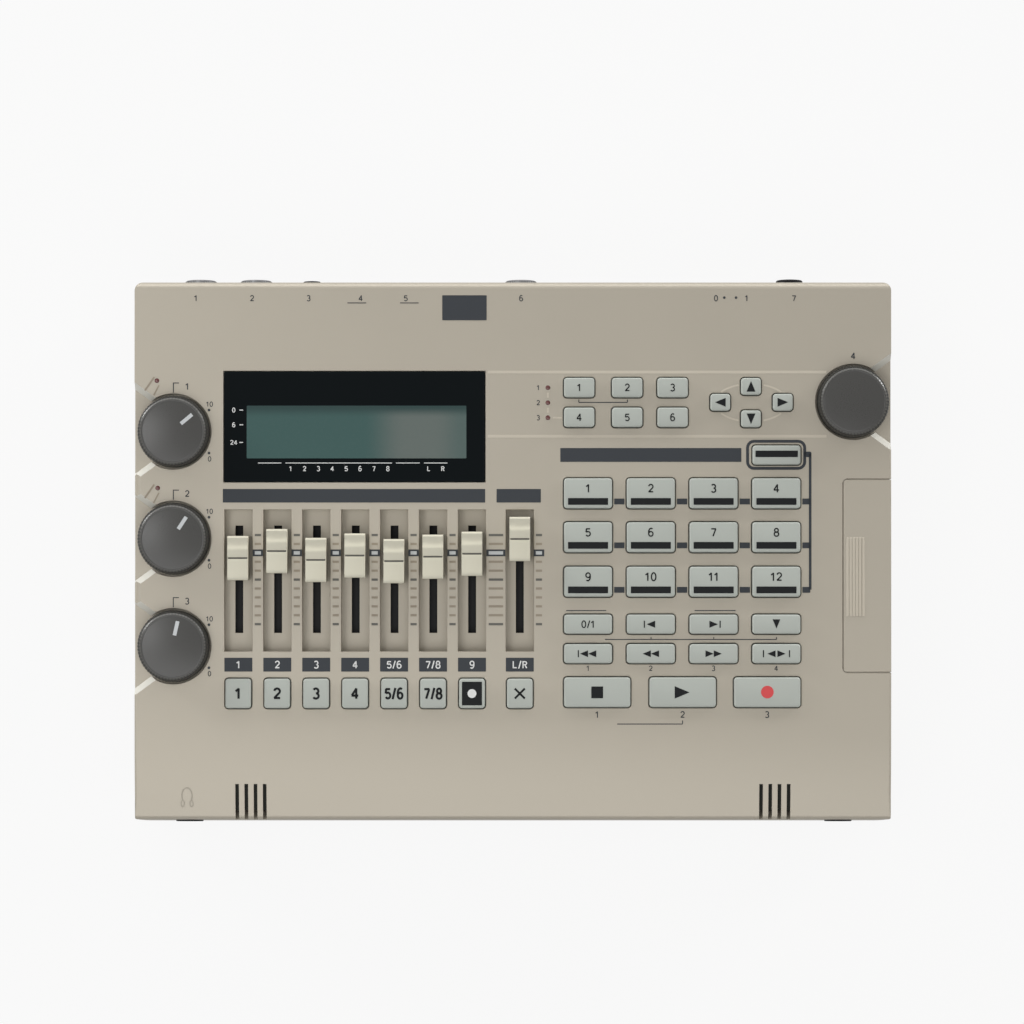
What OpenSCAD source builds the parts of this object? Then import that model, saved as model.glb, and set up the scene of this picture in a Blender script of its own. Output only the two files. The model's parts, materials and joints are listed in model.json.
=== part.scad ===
// Digital multitrack recorder: a wedge-shaped case with faders, knobs, keys and a display.
// Millimetres. +X is to the right, +Y to the rear, +Z up, feet on z = 0.

/* [Case] */
// width of the case
case_w = 257; // [255:0.5:272]
// depth of the case from front to rear face
case_d = 183; // [181:0.5:192]
// height of the panel plane above the table at mid depth
panel_mid_z = 41.3; // [41:0.1:46]
// slope of the panel, rear side high
panel_tilt = 3; // [2.5:0.1:4]
// thickness of the case walls
wall = 2.5; // [2.2:0.1:3]
// plan radius of the case corners
corner_r = 3; // [2:0.5:5]
// radius of the front top edge
nose_r = 6; // [4:0.5:8]
// radius of the rear top edge
rear_r = 2.5; // [1.5:0.1:3]
// how far the front face leans out at its foot
front_lean = 2.2; // [1:0.1:3]
// height of the joint line between the covers
part_z = 12; // [11:0.5:13]
// height of the rubber feet
foot_h = 2.5; // [2:0.1:4]
// radius of the rubber feet
foot_r = 7; // [5:0.5:8]

/* [Faders] */
// spacing of the track faders
fader_pitch = 13.22; // [13:0.01:13.4]
// width of a fader trough
trough_w = 9.5; // [9:0.1:10]
// depth of a fader trough
trough_deep = 5; // [4.5:0.1:5.4]
// width of a fader slot
slot_w = 2.7; // [2.4:0.1:3]
// full travel of a fader
fader_travel = 30; // [26:0.5:31]
// width of a fader cap
cap_w = 7; // [6.5:0.1:7.4]
// length of a fader cap
cap_l = 15; // [13:0.5:15]
// top of a fader cap above the panel
cap_proud = 5; // [4:0.1:6]

/* [Knobs] */
// radius of the knobs and of the dial
knob_r = 12.25; // [11.5:0.05:12.4]
// top of a knob above the panel
knob_proud = 6; // [5:0.1:7]
// depth of the recess round a knob
scoop_deep = 3; // [2.5:0.1:3.5]
// radius of the knob shafts
shaft_r = 3; // [2.5:0.1:3.2]

/* [Keys] */
// top of a key above the panel
key_proud = 1.6; // [1.2:0.1:2.4]
// travel of a key
key_travel = 1; // [0.6:0.1:1]
// gap between a key and its opening
key_gap = 0.35; // [0.3:0.05:0.5]
// width of a function key
func_w = 16.3; // [16:0.1:17.2]
// depth of a function key
func_d = 10.2; // [9.8:0.1:10.8]
// width of a track key
track_w = 8.7; // [8.5:0.1:9.5]
// depth of a track key
track_d = 10; // [9.6:0.1:10.6]
// width of a transport key
play_w = 22.5; // [22:0.1:23.5]

/* [Sockets] */
// radius of the quarter-inch socket bores
jack_r = 3.3; // [3.25:0.01:3.4]
// how far the rear socket nuts stand out
nut_proud = 3; // [2:0.1:4]
// travel of the power switch
switch_travel = 4; // [3:0.5:4.5]

/* [Battery] */
// inside width of the battery bay
bay_w = 93; // [90:1:96]
// inside length of the battery bay
bay_d = 54; // [53:0.5:56]
// travel of the battery cover
cover_travel = 14; // [10:1:15]

/* [Hidden] */

$fn = 64;
champagne = [0.68, 0.645, 0.58];
key_grey = [0.66, 0.67, 0.645];
ivory = [0.82, 0.79, 0.70];
dark = [0.16, 0.16, 0.16];
black = [0.05, 0.05, 0.05];
board_green = [0.10, 0.28, 0.16];
steel = [0.70, 0.70, 0.72];

tilt = panel_tilt;
y_mid = -nut_proud / 2;
y_front = y_mid - case_d / 2;
y_back = y_mid + case_d / 2;
half_w = case_w / 2;
// share of the layout's own width and depth, so that the panel's places spread with the case
wide = case_w / 257;
deep = case_d / 183;
roll_r = 150;
roll_v = 29.5 - case_d / 2;
lean = atan(front_lean / (panel_mid_z - foot_h));
rear_top = panel_mid_z - 1.3;

// depth levels below the panel plane
flange_top = -wall - 0.3;
flange_low = flange_top - 1.2;
switch_top = flange_low - key_travel - 0.3;
trough_low = -trough_deep - 1.5;
pot_top = trough_low - 1;
board_top = pot_top - 6.5;
board_low = board_top - 1.6;
scoop_low = -scoop_deep - 2;

// fader places
fader_step = fader_pitch * wide;
fader_x1 = -13.88 * wide - 6 * fader_step;
fader_xm = 2.35 * wide;
trough_v1 = 14.2 * deep;
trough_v0 = trough_v1 - cap_l - fader_travel - 3.2;
fader_top_v = trough_v1 - cap_l / 2 - 1.6;
fader_drop = [7.37, 5, 8, 6.5, 8.4, 6.9, 5.9, 0.9];

// knob places
knob_x = -half_w + 13.2;
knob_v = deep * [40.7, 4.3, -32.2];
dial_x = half_w - 12.9;
scoop_v = knob_r - 3.2;
dial_v = 50.8 * deep;
knob_turn = [40, 57, 77.5];

// key places
mode_x = wide * [22.5, 38.8, 54.2];
mode_v = deep * [55.6, 45.5];
func_x = wide * [25.5, 46.8, 68.1, 89.4];
func_v = deep * [19.7, 4.8, -10.3];
locate_v = deep * [-24.7, -34.7];
play_x = wide * [28.6, 57.6, 86.3];
play_v = -47.8 * deep;
track_v = -48.2 * deep;
cursor_x = wide * [80.8, 80.8, 70.4, 91.6];
cursor_v = deep * [56, 45, 50.6, 50.6];
cursor_xv = [for (i = [0 : 3]) [cursor_x[i], cursor_v[i]]];
pad_xv = [89.5 * wide, 32.7 * deep];
small_d = 6.5;
play_d = 10.1;
mode_w = 10.3;
mode_d = 6.6;
cursor_w = 6.7;
cursor_d = 5.7;

// lamp places
lamp_r = 0.95;
lamp_v = deep * [55.6, 50.5, 45.4];
lamp_xv = concat([for (v = lamp_v) [11.9 * wide, v]],
  [[knob_x - 5.6, knob_v[0] + 17.3], [knob_x - 5.3, knob_v[1] + 17.2]]);

// display places
win = [-98.3 * wide, 23.4 * deep, -9.3 * wide, 61.3 * deep];
glass = [win[0] + 6.7, win[1] + 6.8, win[2] - 5.5, win[3] - 10.3];

// card door and its well
door_x0 = half_w - 16.4;
door_v = deep * [-41.2, 24.6];
card_v = (door_v[0] + door_v[1]) / 2 - 1.2;
card_half = 21.8;
well_low = board_low - 7.4;
sill_low = well_low + 1.8;

// rear sockets
board_z = 11;
main_top = board_z + 1.6;
jack_h = 15;
jack_z = main_top + jack_h / 2;
barrel_r = jack_r + 1.1;
nut_r = barrel_r + 0.85;
rear_jacks = wide * [-107.7, -88.6, 2.8];
front_jacks = [-half_w + 17.7, half_w - 17];
phono_x = wide * [-51.7, -36.4];
line_x = -69.4 * wide;
usb_x = -16.6 * wide;
dc_x = 95.5 * wide;
switch_x = 71 * wide;

// microphones, feet and board edges
mic_v = 10.5 - case_d / 2;
foot_x = half_w - 18.2;
foot_y = [y_front + foot_r + 0.8, y_back - 22];
board_v = deep * [-57, 63.5];
board_x1 = half_w - 24.5;

// battery bay
bay_y1 = 4;
bay_y0 = bay_y1 - bay_d;
bay_top = 20;
cover_top = foot_h + 2;

// screw posts
post_x = [half_w - 6.5, half_w - 56.5];
post_y = [y_back - 13, y_front + 14];
post_xy = [for (i = [0, 1]) for (s = [-1, 1]) [s * post_x[i], post_y[i]]];

function on_yz(v, w) = [y_mid + v * cos(tilt) - w * sin(tilt), panel_mid_z + v * sin(tilt) + w * cos(tilt)];
function arc(c, r, a0, a1, n) =
  [for (i = [0 : n]) c + r * [cos(a0 + (a1 - a0) * i / n), sin(a0 + (a1 - a0) * i / n)]];
function corner_pts(w, d, r, n) = concat(
  arc([w / 2 - r, d / 2 - r], r, 0, 90, n),
  arc([-w / 2 + r, d / 2 - r], r, 90, 180, n),
  arc([-w / 2 + r, -d / 2 + r], r, 180, 270, n),
  arc([w / 2 - r, -d / 2 + r], r, 270, 360, n));

// outline of the case in the Y-Z plane, moved inward by g
function front_foot(g) = [y_front, foot_h] + g * [cos(lean), -sin(lean)];
function front_at(g, z) = front_foot(g) + [sin(lean), cos(lean)] * (z - front_foot(g)[1]) / cos(lean);
function nose_c(g, r) =
  let (c = on_yz(roll_v, -roll_r))
  let (d = [sin(lean), cos(lean)])
  let (q = front_foot(g) + r * [cos(lean), -sin(lean)] - c)
  let (s = -(q * d) + sqrt((q * d) * (q * d) - q * q + (roll_r - g - r) * (roll_r - g - r)))
  q + c + s * d;
function rear_c(g, r) =
  let (y = y_back - g - r)
  [y, panel_mid_z + (y - y_mid) * tan(tilt) - (g + r) / cos(tilt)];
function side_pts(g, z0) =
  let (rf = max(nose_r - g, 0.5))
  let (rr = max(rear_r - g, 0.5))
  let (c = on_yz(roll_v, -roll_r))
  let (n = nose_c(g, rf))
  let (m = rear_c(g, rr))
  let (a = atan2(n[1] - c[1], n[0] - c[0]))
  concat(
    [[y_back - g, z0]],
    arc(m, rr, 0, 90 + tilt, 8),
    arc(c, roll_r - g, 90 + tilt, a, 10),
    arc(n, rf, a + 2, 180 - lean, 12),
    [front_at(g, z0)]);

// height of the panel plane above a point of the table
function panel_z(y) = panel_mid_z + (y - y_mid) * tan(tilt);

module on_panel() {
  translate([0, y_mid, panel_mid_z]) rotate([tilt, 0, 0]) children();
}

module rblock(w, d, z0, z1, r) {
  translate([0, 0, z0]) linear_extrude(z1 - z0) polygon(corner_pts(w, d, r, 4));
}

module span(x0, x1, y0, y1, z0, z1) {
  translate([x0, y0, z0]) cube([x1 - x0, y1 - y0, z1 - z0]);
}

module along_y(x, z, y0, y1, r) {
  translate([x, y0, z]) rotate([-90, 0, 0]) cylinder(h = y1 - y0, r = r);
}

module case_body(g, w, z0) {
  translate([-w / 2, 0, 0]) rotate([90, 0, 90]) linear_extrude(w) polygon(side_pts(g, z0));
}

module case_plan() {
  translate([0, y_mid, 0]) linear_extrude(80) polygon(corner_pts(case_w, case_d, corner_r, 6));
}

// a wide notch with sloping ends, open to the left edge; the knob is at the origin
module scoop() {
  reach = half_w - abs(knob_x) + 4;
  intersection() {
    translate([-reach, -30, -scoop_deep]) cube([reach, 60, scoop_deep + 2]);
    translate([-6, -scoop_v, -scoop_deep]) rotate([0, 0, 36]) rotate([34, 0, 0])
      translate([-60, 0, -20]) cube([80, 80, 90]);
    translate([-6, scoop_v, -scoop_deep]) rotate([0, 0, -36]) rotate([-34, 0, 0])
      translate([-60, -80, -20]) cube([80, 80, 90]);
  }
}

module knob_recess() {
  translate([0, 0, -scoop_deep]) cylinder(h = scoop_deep + 3, r = knob_r + 0.6);
  translate([0, 0, scoop_low - 1]) cylinder(h = 10, r = shaft_r + 0.5);
  scoop();
}

module key_hole(x, v, w, d) {
  translate([x, v, 0]) rblock(w + 2 * key_gap, d + 2 * key_gap, -wall - 1, 3, 1 + key_gap);
}

module key_holes() {
  for (i = [0 : 7]) key_hole(fader_x(i), track_v, track_w, track_d);
  for (x = play_x) key_hole(x, play_v, play_w, play_d);
  for (x = mode_x) for (v = mode_v) key_hole(x, v, mode_w, mode_d);
  for (p = cursor_xv) key_hole(p[0], p[1], cursor_w, cursor_d);
  key_hole(pad_xv[0], pad_xv[1], func_w, small_d);
  for (x = func_x) for (v = func_v) key_hole(x, v, func_w, func_d);
  for (x = func_x) for (v = locate_v) key_hole(x, v, func_w, small_d);
}

function fader_x(i) = i == 7 ? fader_xm : fader_x1 + i * fader_step;
function mic_x(s) = s * (half_w - 39.5);

module top_cover() {
  color(champagne)
  difference() {
    union() {
      difference() {
        intersection() {
          case_body(0, case_w, part_z);
          case_plan();
        }
        case_body(wall, case_w - 2 * wall, part_z - 5);
      }
      on_panel() {
        // tubs of the fader troughs
        span(fader_x1 - trough_w / 2 - 1.2, fader_xm + trough_w / 2 + 1.2,
          trough_v0 - 1.2, trough_v1 + 1.2, trough_low, -1);
        // floors of the knob recesses
        span(-half_w + 1, knob_x + 2, knob_v[2] - 21, knob_v[0] + 21, scoop_low, -1);
        span(knob_x, knob_x + knob_r + 2.2, knob_v[2] - 13.6, knob_v[0] + 13.6, scoop_low, -1);
        span(dial_x - 2, half_w - 1, dial_v - 21, dial_v + 21, scoop_low, -1);
        span(dial_x - knob_r - 2.2, dial_x, dial_v - 13.6, dial_v + 13.6, scoop_low, -1);
        // holders of the microphone capsules
        for (s = [-1, 1]) span(mic_x(s) - 7, mic_x(s) + 7, mic_v - 5, mic_v + 5, -6.5, -3);
      }
      for (p = post_xy) translate([p[0], p[1], part_z]) cylinder(h = panel_z(p[1]) - part_z - 1.8, r = 3.5);
    }
    on_panel() {
      for (i = [0 : 7]) {
        span(fader_x(i) - trough_w / 2, fader_x(i) + trough_w / 2, trough_v0, trough_v1, -trough_deep, 3);
        span(fader_x(i) - slot_w / 2, fader_x(i) + slot_w / 2,
          trough_v0 + 6.2, trough_v1 - 5.4, trough_low - 1, 3);
      }
      for (v = knob_v) translate([knob_x, v, 0]) knob_recess();
      translate([dial_x, dial_v, 0]) mirror([1, 0, 0]) knob_recess();
      span(win[0], win[2], win[1], win[3], -1.6, 3);
      span(glass[0], glass[2], glass[1], glass[3], -wall - 1, 3);
      key_holes();
      for (p = lamp_xv) translate([p[0], p[1], scoop_low - 1]) cylinder(h = 12, r = lamp_r + 0.3);
      span(door_x0, half_w + 5, door_v[0], door_v[1], sill_low, 3);
      for (s = [-1, 1]) for (k = [-1.5 : 1 : 1.5])
        span(mic_x(s) + k * 3.12 - 0.63, mic_x(s) + k * 3.12 + 0.63, mic_v - 19, mic_v + 2, -7, 3);
    }
    span(-half_w + 6, half_w - 6, y_back - wall - 4, y_back + 1, part_z - 1, rear_top);
    for (x = front_jacks) along_y(x, jack_z, y_front - 1, y_front + 12, barrel_r + 0.3);
    for (p = post_xy) translate([p[0], p[1], part_z - 1]) cylinder(h = 16, r = 1.5);
  }
}

module bottom_cover() {
  color(champagne)
  difference() {
    union() {
      difference() {
        intersection() {
          case_body(0, case_w, foot_h);
          case_plan();
          span(-half_w - 1, half_w + 1, y_front - 5, y_back + 5, foot_h, part_z);
        }
        intersection() {
          case_body(wall, case_w - 2 * wall, foot_h + wall);
          span(-half_w, half_w, y_front - 5, y_back + 5, foot_h + wall, part_z + 5);
        }
      }
      // battery bay
      span(-bay_w / 2 - 2, bay_w / 2 + 2, bay_y0 - 2, bay_y1 + 2, foot_h + 1, bay_top + 1.5);
      span(-bay_w / 2 - 5, bay_w / 2 + 5, bay_y0 - cover_travel - 6, bay_y1 + 5, foot_h, cover_top + 2.2);
      // posts of the main board and rests of the front sockets
      for (s = [-1, 1]) for (y = [bay_y1 + 18, y_back - 19])
        translate([s * (foot_x - 12.3), y, foot_h]) cylinder(h = board_z - foot_h, r = 3);
      for (x = front_jacks) span(x - 6, x + 6, y_front + 9, y_front + 28, foot_h + 1, jack_z - 7.5);
      for (p = post_xy) translate([p[0], p[1], foot_h]) cylinder(h = part_z - foot_h, r = 4.2);
    }
    span(-bay_w / 2, bay_w / 2, bay_y0, bay_y1, foot_h - 1, bay_top);
    span(-bay_w / 2 - 3, bay_w / 2 + 3, bay_y0 - cover_travel - 3.3, bay_y1 + 3, foot_h - 1, cover_top + 0.3);
    for (p = post_xy) {
      translate([p[0], p[1], foot_h - 1]) cylinder(h = 4.5, r = 3.2);
      translate([p[0], p[1], foot_h - 1]) cylinder(h = 20, r = 1.8);
    }
  }
}

module rear_panel() {
  color(champagne)
  difference() {
    span(-half_w + 6.15, half_w - 6.15, y_back - wall, y_back, part_z + 0.1, rear_top - 0.15);
    for (x = rear_jacks) along_y(x, jack_z, y_back - wall - 1, y_back + 1, barrel_r + 0.3);
    for (x = phono_x) along_y(x, jack_z, y_back - wall - 1, y_back + 1, 6.2);
    along_y(line_x, jack_z, y_back - wall - 1, y_back + 1, 3.2);
    along_y(dc_x, jack_z, y_back - wall - 1, y_back + 1, 4.7);
    span(usb_x - 6.2, usb_x + 6.2, y_back - wall - 1, y_back + 1, jack_z - 5.7, jack_z + 5.7);
    span(switch_x - 2.5, switch_x + 2.5 + switch_travel,
      y_back - wall - 1, y_back + 1, jack_z - 2.4, jack_z + 2.4);
  }
}

module lcd_window() {
  color(black)
  on_panel() span(win[0] + 0.15, win[2] - 0.15, win[1] + 0.15, win[3] - 0.15, -1.6, 0);
}

module lcd_module() {
  color([0.55, 0.58, 0.50])
  on_panel() {
    span(glass[0] + 0.3, glass[2] - 0.3, glass[1] + 0.3, glass[3] - 0.3, -wall - 3, -1.8);
    span(glass[0] - 1.5, glass[2] + 1.5, glass[1] - 2, glass[3] + 2, board_top, -wall - 0.2);
  }
}

module panel_board() {
  color(board_green)
  on_panel()
  difference() {
    union() {
      span(-half_w + 4, board_x1, board_v[0], board_v[1], board_low, board_top);
      span(board_x1 - 4, half_w - 4, dial_v - 16.8, board_v[1], board_low, board_top);
    }
    span(-60 * wide, 8 * wide, board_v[1] - 7.5, board_v[1] + 6.5, board_low - 1, board_top + 1);
  }
}

module main_board() {
  color(board_green)
  span(-foot_x, foot_x, bay_y1 + 10, y_back - wall - 0.5, board_z, main_top);
}

module slide_pots() {
  color(steel)
  on_panel()
  for (i = [0 : 7])
    span(fader_x(i) - 4, fader_x(i) + 4, trough_v0 + 1.5, trough_v1 - 1.5, board_top, pot_top);
}

module rotary_pots() {
  color(steel)
  on_panel() {
    for (v = knob_v) translate([knob_x, v, board_top]) cylinder(h = 6, r = 8);
    translate([dial_x, dial_v, board_top]) cylinder(h = 6, r = 8);
  }
}

module tact(x, v) {
  translate([x, v, board_top]) {
    translate([-3, -3, 0]) cube([6, 6, 3.5]);
    cylinder(h = switch_top - board_top, r = 1.7);
  }
}

module key_switches() {
  color(dark)
  on_panel() {
    for (i = [0 : 7]) tact(fader_x(i), track_v);
    for (x = play_x) tact(x, play_v);
    for (x = mode_x) for (v = mode_v) tact(x, v);
    for (p = cursor_xv) tact(p[0], p[1]);
    tact(pad_xv[0], pad_xv[1]);
    for (x = func_x) for (v = concat(func_v, locate_v)) tact(x, v);
  }
}

module lamps() {
  color([0.45, 0.06, 0.05])
  on_panel()
  for (p = lamp_xv) translate([p[0], p[1], board_top]) cylinder(h = -board_top - 0.1, r = lamp_r);
}

module jack(x, y, out, turn) {
  translate([x, y, jack_z]) rotate([0, 0, turn])
  difference() {
    union() {
      span(-8, 8, -24, 0, -jack_h / 2, jack_h / 2);
      along_y(0, 0, -2, out, barrel_r);
    }
    along_y(0, 0, -20, out + 1, jack_r);
  }
}

module jack_sockets() {
  color(dark) {
    for (x = rear_jacks) jack(x, y_back - wall, wall + nut_proud, 0);
    for (x = front_jacks) jack(x, front_at(wall, jack_z + 8)[0] + 0.2, wall + 0.3, 180);
  }
}

module jack_nuts() {
  color(dark)
  for (x = rear_jacks)
    difference() {
      along_y(x, jack_z, y_back, y_back + nut_proud - 0.4, nut_r);
      along_y(x, jack_z, y_back - 1, y_back + nut_proud + 1, barrel_r + 0.05);
    }
}

module phono(x) {
  difference() {
    union() {
      span(x - 6.5, x + 6.5, y_back - 18, y_back - 8, main_top, main_top + 15);
      along_y(x, jack_z, y_back - 9, y_back - 0.3, 4.15);
    }
    along_y(x, jack_z, y_back - 8, y_back + 1, 1.7);
  }
}

module rear_connectors() {
  color(dark) {
    for (x = phono_x) phono(x);
    difference() {
      union() {
        span(line_x - 5, line_x + 5, y_back - wall - 13, y_back - wall, main_top, main_top + 13);
        along_y(line_x, jack_z, y_back - wall - 2, y_back + 1.5, 2.9);
      }
      along_y(line_x, jack_z, y_back - wall - 12, y_back + 2, 1.8);
    }
    difference() {
      union() {
        span(usb_x - 6, usb_x + 6, y_back - 16, y_back, jack_z - 5.5, jack_z + 5.5);
        span(usb_x - 6, usb_x + 6, y_back - 16, y_back - wall, main_top, jack_z);
      }
      span(usb_x - 4.25, usb_x + 4.25, y_back - 11, y_back + 1, jack_z - 3.9, jack_z + 3.9);
    }
    span(usb_x - 2.8, usb_x + 2.8, y_back - 11, y_back - 2, jack_z - 1.6, jack_z + 1.6);
    difference() {
      union() {
        span(dc_x - 5, dc_x + 5, y_back - wall - 12, y_back - wall, main_top, main_top + 13);
        along_y(dc_x, jack_z, y_back - wall - 2, y_back + 1, 4.4);
      }
      along_y(dc_x, jack_z, y_back - wall - 9, y_back + 2, 2.8);
    }
    along_y(dc_x, jack_z, y_back - wall - 9, y_back - 2, 1);
    span(switch_x - 7, switch_x + 7 + switch_travel,
      y_back - wall - 12, y_back - wall - 1.9, main_top, main_top + 13);
  }
}

// the socket and the open tub in front of it are one moulding under the panel
module card_socket() {
  color(dark)
  on_panel()
  difference() {
    union() {
      span(door_x0 - 40, door_x0 - 2, card_v - card_half - 2.2, card_v + card_half + 2.2,
        board_low - 7.2, board_low);
      span(door_x0 - 3, half_w - wall - 0.1, door_v[0] - 3, door_v[1] + 3, well_low - 1.5, -wall - 0.1);
    }
    span(door_x0, half_w, door_v[0], door_v[1], well_low, 3);
    span(door_x0 - 38, door_x0 + 1, card_v - card_half, card_v + card_half, board_low - 6.4, board_low - 0.8);
  }
}

module mic_capsules() {
  color(steel)
  on_panel()
  for (s = [-1, 1]) translate([mic_x(s), mic_v, -12.5]) cylinder(h = 6, r = 4.8);
}

module battery_contacts() {
  color(steel)
  for (k = [0 : 5]) {
    x = (k - 2.5) * bay_w / 6;
    span(x - 5, x + 5, bay_y0, bay_y0 + 0.6, cover_top + 3, bay_top - 3);
    span(x - 5, x + 5, bay_y1 - 0.6, bay_y1, cover_top + 3, bay_top - 3);
  }
}

module rubber_feet() {
  color(black)
  for (s = [-1, 1]) for (y = foot_y)
    translate([s * foot_x, y, 0]) cylinder(h = foot_h, r = foot_r);
}

module case_screws() {
  color(steel)
  for (p = post_xy)
    translate([p[0], p[1], foot_h + 1]) {
      difference() {
        translate([0, 0, 0.4]) cylinder(h = 2.1, r = 2.8);
        span(-1.9, 1.9, -0.4, 0.4, -1, 1.4);
        span(-0.4, 0.4, -1.9, 1.9, -1, 1.4);
      }
      translate([0, 0, 2.5]) cylinder(h = part_z - foot_h + 8, r = 1.4);
    }
}

module fader(i) {
  v = fader_top_v - fader_drop[i];
  on_panel()
  translate([fader_x(i), v, 0]) {
    color(ivory)
    difference() {
      translate([cap_w / 2, 0, 0]) rotate([90, 0, -90]) linear_extrude(cap_w)
        polygon([[-cap_l / 2, 0.8 - trough_deep], [cap_l / 2, 0.8 - trough_deep], [cap_l / 2, 1.5],
          [cap_l / 2 - 1.6, cap_proud], [-cap_l / 2 + 1.6, cap_proud], [-cap_l / 2, 1.5]]);
      translate([-cap_w, 0, cap_proud + 12.4]) rotate([0, 90, 0]) cylinder(h = 2 * cap_w, r = 14);
      span(-cap_w, cap_w, -0.4, 0.4, cap_proud - 2.2, cap_proud + 3);
    }
    color(steel) span(-0.6, 0.6, -2, 2, pot_top + 0.3, 0.8 - trough_deep);
  }
}

module knob(x, v, turn, pointer) {
  on_panel()
  translate([x, v, 0]) {
    color(dark)
    difference() {
      rotate_extrude() polygon([[0, 0.5 - scoop_deep], [knob_r, 0.5 - scoop_deep], [knob_r, knob_proud - 1.6],
        [knob_r - 1.1, knob_proud], [0, knob_proud]]);
      if (pointer) rotate([0, 0, turn]) span(3.9, 8.8, -0.6, 0.6, knob_proud - 0.5, knob_proud + 1);
    }
    color(steel) translate([0, 0, board_top + 6.3])
      cylinder(h = 0.5 - scoop_deep - board_top - 6.3, r = shaft_r);
  }
}

module key_cap(x, v, w, d) {
  translate([x, v, 0]) {
    rblock(w, d, flange_low, key_proud, 1);
    rblock(w + 1.6, d + 1.6, flange_low, flange_top, 1.2);
  }
}

module key(x, v, w, d) {
  color(key_grey) on_panel() key_cap(x, v, w, d);
}

module key_row(rows, d) {
  color(key_grey) on_panel() {
    for (v = rows) {
      for (x = func_x) key_cap(x, v, func_w, d);
      span(func_x[0], func_x[3], v - 1.5, v + 1.5, flange_low, flange_top);
    }
    if (len(rows) > 1) span(func_x[1] - 1.5, func_x[1] + 1.5, rows[1], rows[0], flange_low, flange_top);
  }
}

module power_switch() {
  color(black) {
    span(switch_x - 2.2, switch_x + 2.2, y_back - wall - 1.5, y_back + 1.6, jack_z - 2, jack_z + 2);
    span(switch_x - 6.5, switch_x + 6.5, y_back - wall - 1.5, y_back - wall - 0.3, jack_z - 3.6, jack_z + 3.6);
  }
}

module card_door() {
  color(champagne)
  on_panel() {
    span(door_x0 + 0.25, half_w, door_v[0] + 0.25, door_v[1] - 0.25, -2.2, 0);
    span(half_w - 2.2, half_w, door_v[0] + 0.25, door_v[1] - 0.25, sill_low + 0.25, -1);
    for (k = [0 : 5])
      span(door_x0 + 1.8 + k * 1.06, door_x0 + 2.4 + k * 1.06, card_v - 12.4, card_v + 14.1, -0.5, 0.4);
  }
}

module battery_cover() {
  color(champagne)
  difference() {
    span(-bay_w / 2 - 2.7, bay_w / 2 + 2.7, bay_y0 - 3, bay_y1 + 2.7, foot_h, cover_top);
    for (k = [0 : 4]) span(-12, 12, bay_y0 + 3 + 2 * k, bay_y0 + 4 + 2 * k, foot_h - 1, foot_h + 0.5);
  }
}

top_cover();
bottom_cover();
rear_panel();
lcd_window();
lcd_module();
panel_board();
main_board();
slide_pots();
rotary_pots();
key_switches();
lamps();
jack_sockets();
jack_nuts();
rear_connectors();
card_socket();
mic_capsules();
battery_contacts();
rubber_feet();
case_screws();
fader(0);  // fader_1
fader(1);  // fader_2
fader(2);  // fader_3
fader(3);  // fader_4
fader(4);  // fader_5
fader(5);  // fader_6
fader(6);  // fader_7
fader(7);  // fader_master
knob(knob_x, knob_v[0], knob_turn[0], true);  // knob_1
knob(knob_x, knob_v[1], knob_turn[1], true);  // knob_2
knob(knob_x, knob_v[2], knob_turn[2], true);  // knob_3
knob(dial_x, dial_v, 0, false);  // value_dial
power_switch();
card_door();
battery_cover();
key(fader_x(0), track_v, track_w, track_d);  // track_key_1
key(fader_x(1), track_v, track_w, track_d);  // track_key_2
key(fader_x(2), track_v, track_w, track_d);  // track_key_3
key(fader_x(3), track_v, track_w, track_d);  // track_key_4
key(fader_x(4), track_v, track_w, track_d);  // track_key_5
key(fader_x(5), track_v, track_w, track_d);  // track_key_6
key(fader_x(6), track_v, track_w, track_d);  // track_key_7
key(fader_x(7), track_v, track_w, track_d);  // track_key_8
key(play_x[0], play_v, play_w, play_d);  // stop_key
key(play_x[1], play_v, play_w, play_d);  // play_key
key(play_x[2], play_v, play_w, play_d);  // record_key
key(mode_x[0], mode_v[0], mode_w, mode_d);  // mode_key_1
key(mode_x[1], mode_v[0], mode_w, mode_d);  // mode_key_2
key(mode_x[2], mode_v[0], mode_w, mode_d);  // mode_key_3
key(mode_x[0], mode_v[1], mode_w, mode_d);  // mode_key_4
key(mode_x[1], mode_v[1], mode_w, mode_d);  // mode_key_5
key(mode_x[2], mode_v[1], mode_w, mode_d);  // mode_key_6
key(cursor_xv[0][0], cursor_xv[0][1], cursor_w, cursor_d);  // cursor_up_key
key(cursor_xv[1][0], cursor_xv[1][1], cursor_w, cursor_d);  // cursor_down_key
key(cursor_xv[2][0], cursor_xv[2][1], cursor_w, cursor_d);  // cursor_left_key
key(cursor_xv[3][0], cursor_xv[3][1], cursor_w, cursor_d);  // cursor_right_key
key(pad_xv[0], pad_xv[1], func_w, small_d);  // pad_key
key_row([func_v[0]], func_d);  // function_row_1
key_row([func_v[1]], func_d);  // function_row_2
key_row([func_v[2]], func_d);  // function_row_3
key_row(locate_v, small_d);  // locate_rows
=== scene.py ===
# %% [markdown]
# # A desktop multitrack recorder
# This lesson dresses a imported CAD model: every solid is already in its place, so each cell only adds
# what CAD leaves out, such as soft edges, paint, print, ribs and light. Most meshes are drawn in
# millimetres on the sloping panel and carried to metres at the end of each piece.

# %% Load the frame
import json
import math

import bmesh
import bpy
from mathutils import Matrix, Vector

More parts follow.
